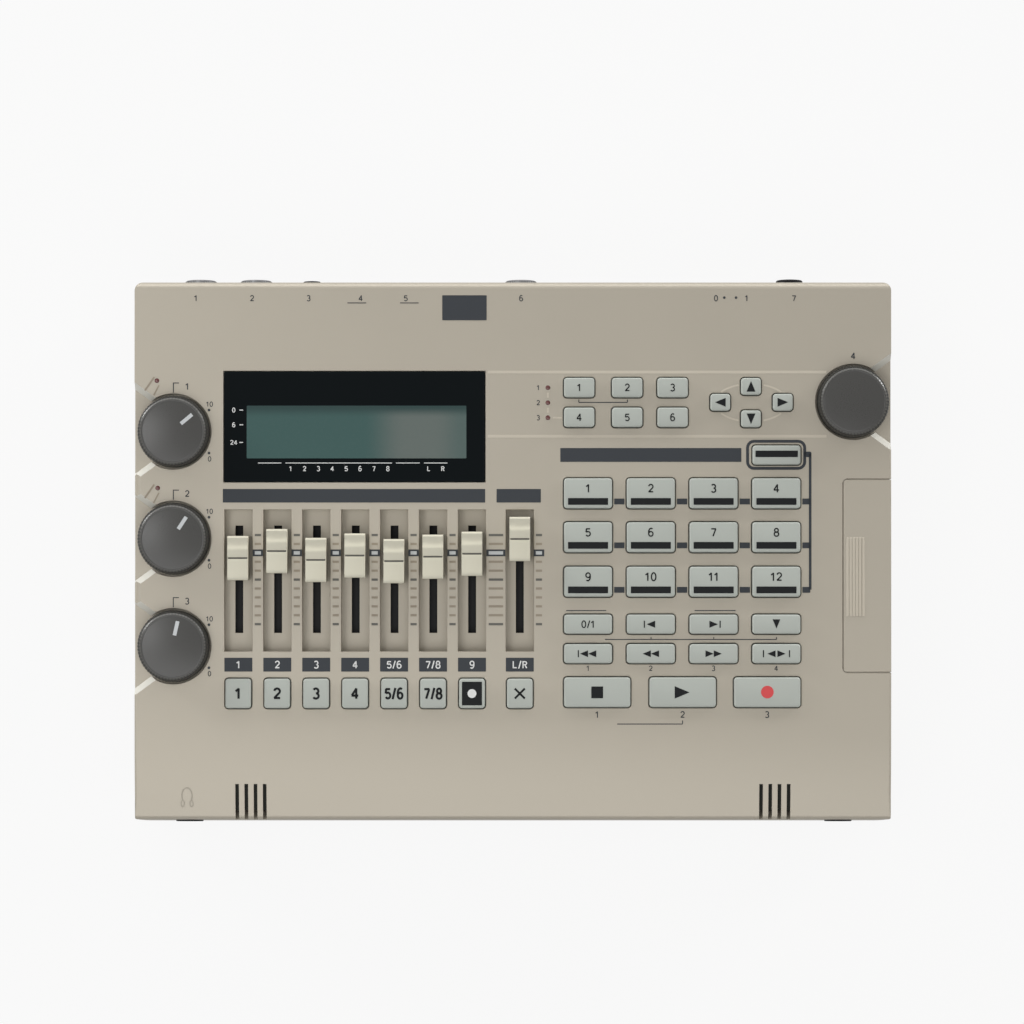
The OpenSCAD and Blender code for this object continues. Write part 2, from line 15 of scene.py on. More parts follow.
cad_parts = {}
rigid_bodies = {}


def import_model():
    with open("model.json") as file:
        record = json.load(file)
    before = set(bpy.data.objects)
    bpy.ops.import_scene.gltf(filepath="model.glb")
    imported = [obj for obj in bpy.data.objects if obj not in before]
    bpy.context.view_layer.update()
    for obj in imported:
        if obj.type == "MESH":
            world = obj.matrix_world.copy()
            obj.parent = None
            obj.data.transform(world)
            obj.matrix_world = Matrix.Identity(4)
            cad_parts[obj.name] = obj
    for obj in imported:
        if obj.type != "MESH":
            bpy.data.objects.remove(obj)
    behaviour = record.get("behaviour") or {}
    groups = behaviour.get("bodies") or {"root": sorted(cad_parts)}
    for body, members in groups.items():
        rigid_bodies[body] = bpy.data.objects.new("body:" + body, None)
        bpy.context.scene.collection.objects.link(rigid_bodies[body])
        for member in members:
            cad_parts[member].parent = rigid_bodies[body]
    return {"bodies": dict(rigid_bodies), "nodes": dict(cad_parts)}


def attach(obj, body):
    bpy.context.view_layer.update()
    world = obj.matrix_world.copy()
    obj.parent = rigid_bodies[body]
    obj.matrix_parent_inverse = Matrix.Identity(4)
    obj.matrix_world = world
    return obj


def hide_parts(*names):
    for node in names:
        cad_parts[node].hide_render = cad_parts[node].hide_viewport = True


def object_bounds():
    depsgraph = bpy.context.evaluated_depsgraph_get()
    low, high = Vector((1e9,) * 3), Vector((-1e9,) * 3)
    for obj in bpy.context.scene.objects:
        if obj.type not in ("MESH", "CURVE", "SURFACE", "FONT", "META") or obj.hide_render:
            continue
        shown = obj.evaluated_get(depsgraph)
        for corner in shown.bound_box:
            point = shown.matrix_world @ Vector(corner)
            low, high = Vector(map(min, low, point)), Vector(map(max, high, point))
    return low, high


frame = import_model()
cad_box = [list(corner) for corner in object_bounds()]
nodes = frame["nodes"]

# %% [markdown]
# ## Working on the sloping panel
# The panel leans 3 degrees to the front. Drawing keys and print straight in world space would put that
# slope into every number, so this cell keeps one matrix that carries panel millimetres (x to the right,
# v to the rear, w out of the panel) to world metres.

# %% The panel's own axes
MM = 0.001
TILT = math.radians(3)
Y_MID, PANEL_Z = -1.5, 41.3
NUTS = 3.0
FRONT_Y, BACK_Y = cad_box[0][1] / MM, cad_box[1][1] / MM - NUTS
TO_METRES = Matrix.Diagonal((MM, MM, MM, 1))
PANEL = TO_METRES @ Matrix.Translation((0, Y_MID, PANEL_Z)) @ Matrix.Rotation(TILT, 4, "X")
UNPANEL = PANEL.inverted()
print("panel normal", [round(c, 3) for c in (PANEL.to_3x3() @ Vector((0, 0, 1000)))])

# %% [markdown]
# ## Shader sums as Python
# Node trees are hard to read as wires. A socket wrapped in a small class lets a mask be written as
# `1 - edge * 0.3`, and each operator adds the Math node that does it. Every other node, in a material,
# in the sky or in a Geometry Nodes tree, comes from one method that takes its settings and its links.

# %% Socket and node tree classes


class Socket:
    """An output socket that takes part in Python sums."""

    def __init__(self, home, out):
        self.home, self.out = home, out

    def maths(self, kind, first, second):
        return self.home.node("ShaderNodeMath", {"operation": kind}, {0: first, 1: second})

    def __add__(self, other):
        return self.maths("ADD", self, other)

    def __mul__(self, other):
        return self.maths("MULTIPLY", self, other)

    def __sub__(self, other):
        return self.maths("SUBTRACT", self, other)

    def __rsub__(self, other):
        return self.maths("SUBTRACT", other, self)

    __radd__, __rmul__ = __add__, __mul__


class NodeTree:
    """A node tree, with one method that makes any node."""

    def __init__(self, tree):
        self.tree = tree

    def node(self, kind, settings=None, inputs=None, out=0):
        made = self.tree.nodes.new(kind)
        for label, value in (settings or {}).items():
            setattr(made, label, value)
        for label, value in (inputs or {}).items():
            self.put(made.inputs[label], value)
        return Socket(self, made.outputs[out])

    def put(self, socket, value):
        if isinstance(value, Socket):
            self.tree.links.new(value.out, socket)
        else:
            socket.default_value = value


class Finish(NodeTree):
    """A material with one Principled shader."""

    def __init__(self, name, colour, roughness, **numbers):
        self.mat = bpy.data.materials.new(name)
        self.mat.use_nodes = True
        super().__init__(self.mat.node_tree)
        self.shader = self.tree.nodes["Principled BSDF"]
        self.feed("Base Color", (*colour, 1))
        self.feed("Roughness", roughness)
        for label, number in numbers.items():
            self.feed(label.replace("_", " "), number)
        self.mat.diffuse_color = (*colour, 1)

    def feed(self, label, value):
        self.put(self.shader.inputs[label], value)

    def place(self):
        return self.node("ShaderNodeTexCoord", out="Object")

    def noise(self, scale, detail=2.0, rough=0.5):
        grain = {"Vector": self.place(), "Scale": scale, "Detail": detail, "Roughness": rough}
        return self.node("ShaderNodeTexNoise", {}, grain)

    def tinted(self, mask, dark, light):
        dark, light = (c if isinstance(c, Socket) else (*c, 1) for c in (dark, light))
        return self.node("ShaderNodeMix", {"data_type": "RGBA"}, {"Factor": mask, 6: dark, 7: light}, out=2)

    def ease(self, value, low, high):
        return self.node("ShaderNodeMapRange", {"interpolation_type": "SMOOTHSTEP"},
                         {"Value": value, "From Min": low, "From Max": high, "To Min": 0.0, "To Max": 1.0})

    def bump(self, height, strength, depth):
        relief = {"Strength": strength, "Distance": depth, "Height": height}
        self.feed("Normal", self.node("ShaderNodeBump", {}, relief))


def shade(colour, gain):
    return tuple(min(1.0, c * gain) for c in colour)


print("a tint darkened by a tenth", shade((0.5, 0.5, 0.5), 0.9))

# %% [markdown]
# ## The finishes
# Moulded plastic is never one flat colour: paint carries metal flake, keys a fine spark-eroded grain,
# rubber a dull mottle. A photograph of each would need an image file, so each finish below mixes two
# close tints by a noise at the grain's real size, and the same noise moves the roughness and a shallow
# bump. Paint on the case shares one grain, and so does all the screen print.

# %% Grained plastics and paint


def grained(name, colour, roughness, grain, spread, bump, level=0.5, **numbers):
    """A finish whose tint, roughness and surface follow a fine grain (grain is in cells a metre)."""
    f = Finish(name, colour, roughness, Specular_IOR_Level=level, **numbers)
    fine = f.noise(grain, 2.0, 0.6)
    broad = f.noise(38.0, 3.0, 0.55)
    mix = fine * 0.6 + broad * 0.4
    f.feed("Base Color", f.tinted(mix, shade(colour, 1 - spread), shade(colour, 1 + spread)))
    f.feed("Roughness", mix * 0.12 + (roughness - 0.06))
    if bump:
        f.bump(fine, 0.25, bump)
    return f


def coat(name, colour, roughness=0.4, spread=0.04, level=0.35, **numbers):
    """Sprayed paint, with the grain of the case."""
    return grained(name, colour, roughness, 5200, spread, 0.00002, level, **numbers)


def screen_print(name, colour, roughness=0.5, spread=0.06, level=0.12):
    """Ink with a fine grain and no relief."""
    return grained(name, colour, roughness, 6000, spread, 0, level)


CHAMPAGNE = (0.412, 0.376, 0.312)
paint = coat("champagne_paint", CHAMPAGNE, 0.42, 0.05, Metallic=0.3)
# A lighter tint of the case paint: a painted highlight along shallow grooves and steps.
highlight_line_paint = coat("light_line_paint", shade(CHAMPAGNE, 1.3))
# Pale paint for the slopes beside the knobs: a painted highlight where the real case catches more light.
slope_paint = coat("slope_paint", (0.64, 0.625, 0.565))
# Pale paint for the grip ribs of the card door: a painted highlight on the ridges.
rib_highlight_paint = coat("grip_rib_paint", shade(CHAMPAGNE, 1.27))
# A darker tint of the case paint: painted shade in the groove round the card door and on the moulded
# headphone sign.
groove_shade_paint = coat("sunk_mark_paint", shade(CHAMPAGNE, 0.84), 0.45, level=0.3)
key_plastic = grained("grey_key_plastic", (0.415, 0.44, 0.405), 0.5, 4200, 0.035, 0.00002, 0.3)
ivory = grained("ivory_cap_plastic", (0.60, 0.575, 0.465), 0.4, 3800, 0.03, 0.00001, 0.35)
knob_plastic = grained("dark_knob_plastic", (0.047, 0.046, 0.043), 0.29, 4600, 0.08, 0.00002)
# Darker and lighter copies of the knob plastic: painted shade on the knob's side, a painted highlight on its
# bevel.
knob_side_shade = grained("knob_side_plastic", (0.024, 0.024, 0.022), 0.5, 4600, 0.1, 0.00003, 0.3)
knob_bevel_highlight = grained("knob_edge_plastic", (0.105, 0.103, 0.094), 0.4, 4600, 0.1, 0.00002, 0.3)
black_plastic = grained("black_plastic", (0.008, 0.008, 0.009), 0.55, 4000, 0.12, 0.00003, 0.2)
cloth = grained("dark_cloth", (0.030, 0.032, 0.029), 0.9, 2600, 0.3, 0.00006, 0.1)
rubber = grained("black_rubber", (0.014, 0.014, 0.014), 0.8, 2600, 0.2, 0.00006, 0.2)
board_mask = grained("board_mask", (0.015, 0.075, 0.032), 0.4, 900, 0.2, 0)
nut_metal = grained("dark_nickel", (0.26, 0.26, 0.265), 0.34, 5000, 0.08, 0.00001, Metallic=0.9)
steel = grained("plated_steel", (0.55, 0.55, 0.56), 0.32, 5000, 0.05, 0.00001, Metallic=1.0)
slate_print = screen_print("slate_print", (0.048, 0.053, 0.060))
black_print = screen_print("black_print", (0.013, 0.014, 0.015), level=0.1)
pale_print = screen_print("pale_print", (0.72, 0.73, 0.72), spread=0.03)
red_print = screen_print("red_print", (0.64, 0.085, 0.09), 0.45, 0.04)
pointer_paint = screen_print("pointer_paint", (0.52, 0.54, 0.55), spread=0.04)
# Brown ink of the fader ticks, also used as painted shade in the grooves beside the peak lamps.
tick_print = screen_print("tick_print", (0.30, 0.26, 0.205))
grey_line = screen_print("grey_line", (0.135, 0.132, 0.12))
print("finishes", len(bpy.data.materials))

# %% [markdown]
# ## The window, the display and the lamps
# These are clear parts over something dark. Real glass would need refraction for a depth of one
# millimetre, so a gloss on a dark or grey-green base gives the same look from every side.

# %% Clear finishes
window_gloss = grained("black_window", (0.004, 0.006, 0.007), 0.12, 3000, 0.1, 0, 0.06)
display = Finish("display_glass", (0.075, 0.125, 0.115), 0.16, Specular_IOR_Level=0.08)
spot = display.place()
across, along = (display.node("ShaderNodeSeparateXYZ", {}, {"Vector": spot}, axis) for axis in "XY")
# Painted sheen: the base colour turns lighter across the display's right part and falls back by half near its
# right end.
sheen = display.ease(across, -0.051, -0.036) - display.ease(across, -0.027, -0.0165) * 0.5
cells = display.noise(900.0)
glass = display.tinted(sheen * 0.9 + cells * 0.1, (0.055, 0.110, 0.104), (0.138, 0.162, 0.151))
# Painted shadow: the base colour darkens along the top edge of the field, where the window's rim would shade
# it.
display.feed("Base Color", display.tinted(display.ease(along, 0.0437, 0.0476), glass, (0.040, 0.070, 0.068)))
lamp_red = Finish("dark_red_lamp", (0.10, 0.022, 0.020), 0.22, Coat_Weight=0.4)
lamp_core = lamp_red.noise(1400.0)
lamp_red.feed("Base Color", lamp_red.tinted(lamp_core, (0.07, 0.014, 0.013), (0.14, 0.035, 0.030)))
print("finishes with the clear ones", len(bpy.data.materials))

# %% [markdown]
# ## Outlines, and numbers drawn with strokes
# Keys and print start from flat outlines. The numbers could come from a font, but a font is a file and
# its fine corners make poor meshes, so each sign is a few strokes of even width on a field one high.

# %% Outlines and signs


def rounded(x, v, w, d, r, steps=5):
    """The outline of a rounded rectangle, counter-clockwise."""
    r = max(min(r, w / 2 - 0.001, d / 2 - 0.001), 0.001)
    out = []
    for cx, cv, start in ((1, 1, 0), (-1, 1, 90), (-1, -1, 180), (1, -1, 270)):
        for i in range(steps + 1):
            a = math.radians(start + 90 * i / steps)
            out.append((x + cx * (w / 2 - r) + r * math.cos(a), v + cv * (d / 2 - r) + r * math.sin(a)))
    return out


def bow(x, v, rx, rv, a0, a1, n=9):
    """Points along part of an ellipse."""
    turns = [math.radians(a0 + (a1 - a0) * i / n) for i in range(n + 1)]
    return [(x + rx * math.cos(a), v + rv * math.sin(a)) for a in turns]


def disc(x, v, r, n=28):
    return [(x + r * math.cos(2 * math.pi * i / n), v + r * math.sin(2 * math.pi * i / n)) for i in range(n)]


def triangle(x, v, size, way):
    """An arrow head. way is an angle in degrees, 0 to the right."""
    turn = Matrix.Rotation(math.radians(way), 2)
    corners = ((size * 0.6, 0), (-size * 0.6, size * 0.5), (-size * 0.6, -size * 0.5))
    return [tuple(Vector((x, v)) + turn @ Vector(p)) for p in corners]


def stroke(*points):
    """An open stroke of a sign."""
    return list(points), False


def oval(x, v, rx, rv):
    """A closed stroke of a sign."""
    return bow(x, v, rx, rv, 0, 340, 17), True


SIX = [stroke((0.2, 0.4), *bow(0.03, 0.0, 0.30, 0.5, 75, 190)), oval(0, -0.2, 0.27, 0.29)]
SIGNS = {
    "0": [oval(0, 0, 0.28, 0.5)],
    "1": [stroke((-0.24, 0.22), (0.08, 0.47)), stroke((0.05, 0.5), (0.05, -0.5))],
    "2": [stroke(*bow(0, 0.22, 0.27, 0.27, 170, -30), (-0.27, -0.44)), stroke((-0.3, -0.43), (0.3, -0.43))],
    "3": [stroke(*bow(-0.02, 0.24, 0.25, 0.25, 150, -85)), stroke(*bow(-0.02, -0.23, 0.28, 0.26, 85, -150))],
    "4": [stroke((0.32, -0.2), (-0.34, -0.2)), stroke((-0.3, -0.18), (0.14, 0.5)),
          stroke((0.12, 0.5), (0.12, -0.5))],
    "5": [stroke((0.26, 0.43), (-0.24, 0.43)), stroke((-0.2, 0.45), (-0.25, 0.0)),
          stroke(*bow(0, -0.19, 0.28, 0.29, 140, -150))],
    "6": SIX,
    "7": [stroke((-0.3, 0.43), (0.3, 0.43)), stroke((0.27, 0.43), (-0.08, -0.5))],
    "8": [oval(0, 0.24, 0.23, 0.24), oval(0, -0.23, 0.28, 0.27)],
    "9": [([(-a, -b) for a, b in path], closed) for path, closed in SIX],
    "/": [stroke((-0.16, -0.55), (0.16, 0.55))],
    "L": [stroke((-0.22, 0.5), (-0.22, -0.5)), stroke((-0.25, -0.43), (0.26, -0.43))],
    "R": [stroke((-0.25, -0.5), (-0.25, 0.5)), stroke((0.02, -0.02), (0.27, -0.5)),
          stroke((-0.27, 0.43), *bow(0.02, 0.21, 0.24, 0.22, 90, -90, 7), (-0.27, -0.01))],
}
ADVANCE = {"1": 0.7, "/": 0.55}
print("signs", "".join(SIGNS))

# %% [markdown]
# ## A builder for small meshes
# Keys, caps and print are lofts: an outline repeated at rising heights. One class gathers points and
# faces with a finish for each, then makes one object at the origin with its place in the mesh. Print
# is a thin closed plate and not a texture, so it keeps a clean edge from near by.

# %% Mesh builder
SUNK, PROUD = 0.03, 0.05
HOOP_STEPS = 48


def bands(count, n, closed):
    """Quads between rings of n points, the last ring joined to the first where closed."""
    pairs = [(r * n, (r + 1) % count * n) for r in range(count if closed else count - 1)]
    return [[a + i, a + (i + 1) % n, b + (i + 1) % n, b + i] for a, b in pairs for i in range(n)]


class Sketch:
    """Points, faces and finishes of one piece, in millimetres."""

    def __init__(self):
        self.points, self.faces, self.marks, self.finishes = [], [], [], []

    def mark(self, finish):
        if finish not in self.finishes:
            self.finishes.append(finish)
        return self.finishes.index(finish)

    def add(self, points, faces, finish):
        base = len(self.points)
        self.points += [tuple(p) for p in points]
        self.faces += [[base + i for i in f] for f in faces]
        self.marks += [self.mark(finish)] * len(faces)

    def loft(self, rings, finish):
        """Rings of equal count from the foot up, closed at both ends."""
        n, points = len(rings[0]), [p for ring in rings for p in ring]
        ends = [list(range(n))[::-1], list(range(len(points) - n, len(points)))]
        self.add(points, bands(len(rings), n, False) + ends, finish)

    def tube(self, rings, finish):
        """Rings of equal count, the last joined to the first."""
        self.add([p for ring in rings for p in ring], bands(len(rings), len(rings[0]), True), finish)

    def hoop(self, section, place, finish):
        """A closed section of (radius, depth) turned about a line that runs to the rear."""
        x, y, z = place
        turns = [2 * math.pi * i / HOOP_STEPS for i in range(HOOP_STEPS)]
        rings = [[(x + r * math.cos(a), y + d, z + r * math.sin(a)) for r, d in section] for a in turns]
        self.tube(rings, finish)

    def plate(self, outline, finish, w=0.0, thick=PROUD):
        self.loft([[(x, v, z) for x, v in outline] for z in (w - SUNK, w + thick)], finish)

    def bar(self, x0, x1, v0, v1, finish, w=0.0, r=0.15):
        self.plate(rounded((x0 + x1) / 2, (v0 + v1) / 2, x1 - x0, v1 - v0, r, 3), finish, w)

    def strip(self, path, width, finish, w=0.0, closed=False):
        """A printed line of even width along a path."""
        n = len(path)
        left, right = [], []
        for i, p in enumerate(path):
            a = path[(i - 1) % n] if closed or i else p
            b = path[(i + 1) % n] if closed or i < n - 1 else p
            t = Vector((b[0] - a[0], b[1] - a[1])).normalized()
            left.append((p[0] - t.y * width / 2, p[1] + t.x * width / 2))
            right.append((p[0] + t.y * width / 2, p[1] - t.x * width / 2))
        points = [(*q, z) for z in (w - SUNK, w + PROUD) for side in (left, right) for q in side]
        faces = []
        for i in range(n if closed else n - 1):
            j = (i + 1) % n
            faces += [[2 * n + i, 3 * n + i, 3 * n + j, 2 * n + j], [i, j, n + j, n + i],
                      [i, 2 * n + i, 2 * n + j, j], [n + i, n + j, 3 * n + j, 3 * n + i]]
        if not closed:
            faces += [[0, n, 3 * n, 2 * n], [n - 1, 3 * n - 1, 4 * n - 1, 2 * n - 1]]
        self.add(points, faces, finish)

    def words(self, text, x, v, size, finish, w=0.0, stretch=1.0, weight=0.17):
        """Plain numbers and signs drawn with even strokes, centred on (x, v)."""
        wide = [ADVANCE.get(c, 0.86) for c in text]
        pen = -sum(wide) / 2
        for c, step in zip(text, wide):
            for path, closed in SIGNS[c]:
                line = [(x + (pen + step / 2 + a) * size * stretch, v + b * size) for a, b in path]
                self.strip(line, size * weight, finish, w, closed)
            pen += step

    def piece(self, name, matrix=PANEL, smooth=35):
        mesh = bpy.data.meshes.new(name)
        mesh.from_pydata([matrix @ Vector(p) for p in self.points], [], self.faces)
        for finish in self.finishes:
            mesh.materials.append(finish.mat)
        mesh.polygons.foreach_set("material_index", self.marks)
        return settle(name, mesh, smooth)


def settle(name, mesh, smooth, weld=True):
    """One object at the origin, with clean normals and sharp edges past an angle."""
    if weld:
        bm = bmesh.new()
        bm.from_mesh(mesh)
        bmesh.ops.remove_doubles(bm, verts=bm.verts, dist=2e-7)
        bmesh.ops.recalc_face_normals(bm, faces=bm.faces)
        bm.to_mesh(mesh)
        bm.free()
    if smooth:
        mesh.shade_smooth()
        mesh.set_sharp_from_angle(angle=math.radians(smooth))
    made = bpy.data.objects.new(name, mesh)
    bpy.context.scene.collection.objects.link(made)
    return made


def plain_mesh(made):
    """What an object's modifiers make of it, as a mesh of its own."""
    bpy.context.view_layer.update()
    return bpy.data.meshes.new_from_object(made.evaluated_get(bpy.context.evaluated_depsgraph_get()))


def drop(*objects):
    """Removes helper objects and their meshes."""
    for done in objects:
        spare = done.data
        bpy.data.objects.remove(done)
        bpy.data.meshes.remove(spare)


def seat(piece, body, slot, *cad):
    """Ride a body and stand for CAD nodes. slot is not used."""
    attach(piece, body)
    if cad:
        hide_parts(*cad)


print("faces between two closed rings of four", len(bands(2, 4, False)))

# %% [markdown]
# ## The covers
# The covers are injection moulded, so no edge is truly sharp. Each is a welded copy of its CAD mesh with
# a bevel that catches the light along every rim. The long side edges have a bigger radius than the rims
# of key openings, so the bevel reads a weight from each edge and not one width for all.

# %% Bevel weights
HALF_W, SEAM_Z, FEET_Z = 128.5, 12.0, 2.55
SIDE_X = HALF_W - 0.04
FLUSH = 0.06
SKIN = 2.2
ROLL_V, ROLL_R = -62.0, 150.0
DOOR, DOOR_RIM, DOOR_GAP = (112.1, -41.2, 24.6), 0.36, 0.25


def roll_drop(v):
    """How far the front roll has fallen below the panel plane at v."""
    return math.sqrt(ROLL_R ** 2 - max(ROLL_V - v, 0) ** 2) - ROLL_R


def on_door_rim(place):
    """Whether a place in the panel's frame lies on the rim of the card door or of its opening."""
    left, low, high = DOOR
    beside = left - 0.1 < place.x < left + 0.35
    near = min(abs(place.y - low - DOOR_GAP / 2), abs(place.y - high + DOOR_GAP / 2)) < 0.2
    across = place.x > left - 0.1 and near
    return abs(place.z) < FLUSH and low - 0.1 < place.y < high + 0.1 and (beside or across)


def on_roll_side(place):
    """Whether a place in the panel's frame lies on the roll's edge at either side of the case."""
    return abs(place.x) > SIDE_X and -89.8 < place.y < -61.9 and abs(place.z - roll_drop(place.y)) < FLUSH


def on_seam(place):
    """Whether a place in world millimetres lies on the outer edge of the seam between the covers."""
    outer = abs(place.x) > HALF_W - SKIN or not FRONT_Y + SKIN < place.y < BACK_Y - SKIN
    return abs(place.z - SEAM_Z) < 0.03 and outer


def rim_share(edge, share):
    """How much of the bevel an edge takes: all on the long sides, a share on rims, none elsewhere."""
    ends = [UNPANEL @ p.co for p in edge.verts]
    if all(abs(e.x - DOOR[0] - DOOR_GAP) < 0.05 for e in ends) and abs(ends[0].z - ends[1].z) > 1:
        return 1.0
    if all(on_door_rim(e) for e in ends):
        return DOOR_RIM
    if all(on_roll_side(e) for e in ends):
        return 1.0
    if not all(abs(e.z) < FLUSH and -62.5 < e.y < 87 for e in ends):
        places = [p.co / MM for p in edge.verts]
        seam = all(on_seam(q) for q in places)
        rear = all(q.y > BACK_Y - 0.02 for q in places)
        foot = all(q.z < FEET_Z for q in places)
        return share if seam or rear or foot else 0.0
    if all(abs(e.x) > SIDE_X for e in ends):
        return 1.0 if edge.calc_length() > 0.8 * MM else 0.0
    return share if all(abs(e.x) < HALF_W - 4 for e in ends) else 0.0


print("the roll falls", round(-roll_drop(-90.0), 2), "mm at the front")

# %% [markdown]
# ### Normals that keep flats flat
# A bevel bends the shading of the flat faces beside it. The Weighted Normal modifier weighs single faces,
# and a panel full of openings is cut into many small ones. Here the weight is the area of the whole
# plane that a face lies in, and a big flat keeps its own normal.

# %% Corner normals
SMOOTH_TURN, BIG_FLAT = 40, 2500


def plane_of(face):
    """A name for the plane that a face lies in."""
    return (*(round(c, 2) for c in face.normal), round(face.normal.dot(face.center) / MM, 1))


def weigh_normals(mesh):
    """Corner normals from the faces round each corner, weighted by their planes' areas."""
    areas = {}
    for face in mesh.polygons:
        areas[plane_of(face)] = areas.get(plane_of(face), 0.0) + face.area / MM ** 2
    around = [[] for _ in mesh.vertices]
    for face in mesh.polygons:
        for v in face.vertices:
            around[v].append((face.normal.copy(), areas[plane_of(face)]))
    near, corners = math.cos(math.radians(SMOOTH_TURN)), []
    for face in mesh.polygons:
        own = face.normal.copy()
        for v in face.vertices:
            total = sum((n * area for n, area in around[v] if n.dot(own) > near), Vector())
            flat = areas[plane_of(face)] > BIG_FLAT or not total.length
            corners.append(own if flat else total.normalized())
    mesh.shade_smooth()
    mesh.normals_split_custom_set(corners)


print("flats over", BIG_FLAT, "square mm keep their normals")

# %% [markdown]
# ### The front
# The real front face stands steeper and its upper edge is crisper than in the solid. The points of the
# face and of its upper edge are found by their places and moved, so that the openings there move along.

# %% Steeper front
NOSE_R, NOSE_TIGHT = 6.0, 1.7
FACE_Z, FACE_TALL = 2.5, 38.8
FRONT_LEAN, FRONT_STAND = math.atan(2.2 / FACE_TALL), math.atan(0.9 / FACE_TALL)


def front_at(z, lean):
    """Where the front face stands at a height, in world millimetres."""
    return FRONT_Y + (z - FACE_Z) * math.tan(lean)


def nose_arc(radius, lean):
    """Centre (y, z) in world mm and first and last angle of an arc from the roll to the front face."""
    roll = (TO_METRES.inverted() @ PANEL @ Vector((0, ROLL_V, -ROLL_R))).yz
    up = Vector((math.sin(lean), math.cos(lean)))
    start = Vector((FRONT_Y, FACE_Z)) + radius * Vector((up.y, -up.x)) - roll
    along = start.dot(up)
    away = start + up * (math.sqrt(along ** 2 - start.length_squared + (ROLL_R - radius) ** 2) - along)
    return roll + away, math.atan2(away.y, away.x), math.pi - lean


def stand_front(bm):
    """Sets the front face steeper and its upper edge crisper than in the solid."""
    (wide, a0, a1), (tight, b0, b1) = nose_arc(NOSE_R, FRONT_LEAN), nose_arc(NOSE_TIGHT, FRONT_STAND)
    moved = 0
    for point in bm.verts:
        place = point.co.yz / MM
        arm = place - wide
        turn = math.atan2(arm.y, arm.x)
        if abs(arm.length - NOSE_R) < FLUSH and a0 - 0.01 < turn < a1 + 0.01:
            turn = b0 + (turn - a0) * (b1 - b0) / (a1 - a0)
            place = tight + NOSE_TIGHT * Vector((math.cos(turn), math.sin(turn)))
        elif abs(front_at(place.y, FRONT_LEAN) - place.x) < 0.05 and place.y > FACE_Z - 0.1:
            place.x = front_at(place.y, FRONT_STAND)
        else:
            continue
        point.co.yz = place * MM
        moved += 1
    print("front points", moved)


print("lean in degrees", round(math.degrees(FRONT_STAND), 2))

# %% [markdown]
# ### Slopes and grip ribs
# Between the knobs the left edge of the cover falls to a short slope, which wedges cut out by Boolean.
# The grip ribs of the card door are low on the real object, so their points are let down and moved in.

# %% Wedge cuts and lower ribs
RIB_TOP, RIB_SHIFT = 0.2, 0.5
EDGE_SLOPE = ((-125.72, 1.0), (-127.9, -2.2), (-129.5, -2.2), (-129.5, 1.0))
SLOPES = [(EDGE_SLOPE, (v + 6.7, v - 6.7)) for v in (22.2, -14.1)]


def cut_away(bm, wedges):
    """Takes wedges out of a welded mesh. A wedge is a section in (x, w) and its two ends in v."""
    mesh = bpy.data.meshes.new("whole")
    bm.to_mesh(mesh)
    whole = settle("whole", mesh, None, weld=False)
    tools = []
    for section, ends in wedges:
        tool = Sketch()
        tool.loft([[(x, v, w) for x, w in section] for v in ends], paint)
        tools.append(tool.piece("wedge", smooth=None))
        notch = whole.modifiers.new("notch", "BOOLEAN")
        notch.operation, notch.solver, notch.object = "DIFFERENCE", "EXACT", tools[-1]
    left = plain_mesh(whole)
    bm.clear()
    bm.from_mesh(left)
    bmesh.ops.remove_doubles(bm, verts=bm.verts, dist=3e-6)
    drop(whole, *tools)
    bpy.data.meshes.remove(left)


def in_grip(place):
    """Whether a place in the panel's frame belongs to the grip ribs of the card door."""
    return 113.0 < place.x < 120.2 and -22.1 < place.y < 4.8 and place.z > -0.1


def lower_grip(bm):
    """Lets the grip ribs of the card door down and moves them in."""
    for point in bm.verts:
        place = UNPANEL @ point.co
        if in_grip(place):
            point.co = PANEL @ Vector((place.x - RIB_SHIFT, place.y, min(place.z, RIB_TOP)))


print("wedges", len(SLOPES))

# %% [markdown]
# ### Dressing the covers
# All of it comes together here. The slopes beside the knobs catch more light than the panel on the real
# case, and so do the grip ribs, so these faces get a paler paint: a painted highlight, not a colour of their
# own.

# %% Moulded covers
TURN = math.radians(28)
SLOPE_X, SLOPE_Y, SLOPE_AREA = 0.105, 0.072, 4e-6


def tone_of(node, face):
    """Which paint a face takes: 2 on grip ribs and 1 on the slopes beside the knobs, both a painted
    highlight, 0 elsewhere.
    """
    middle, lean = UNPANEL @ face.center, (UNPANEL.to_3x3() @ face.normal).normalized()
    if node == "card_door" and in_grip(middle) and middle.z > 0.02:
        return 2
    beside = abs(face.center.x) > SLOPE_X and abs(face.center.y) < SLOPE_Y and face.area > SLOPE_AREA
    return 1 if beside and abs(lean.y) > 0.45 and 0.4 < lean.z < 0.7 else 0


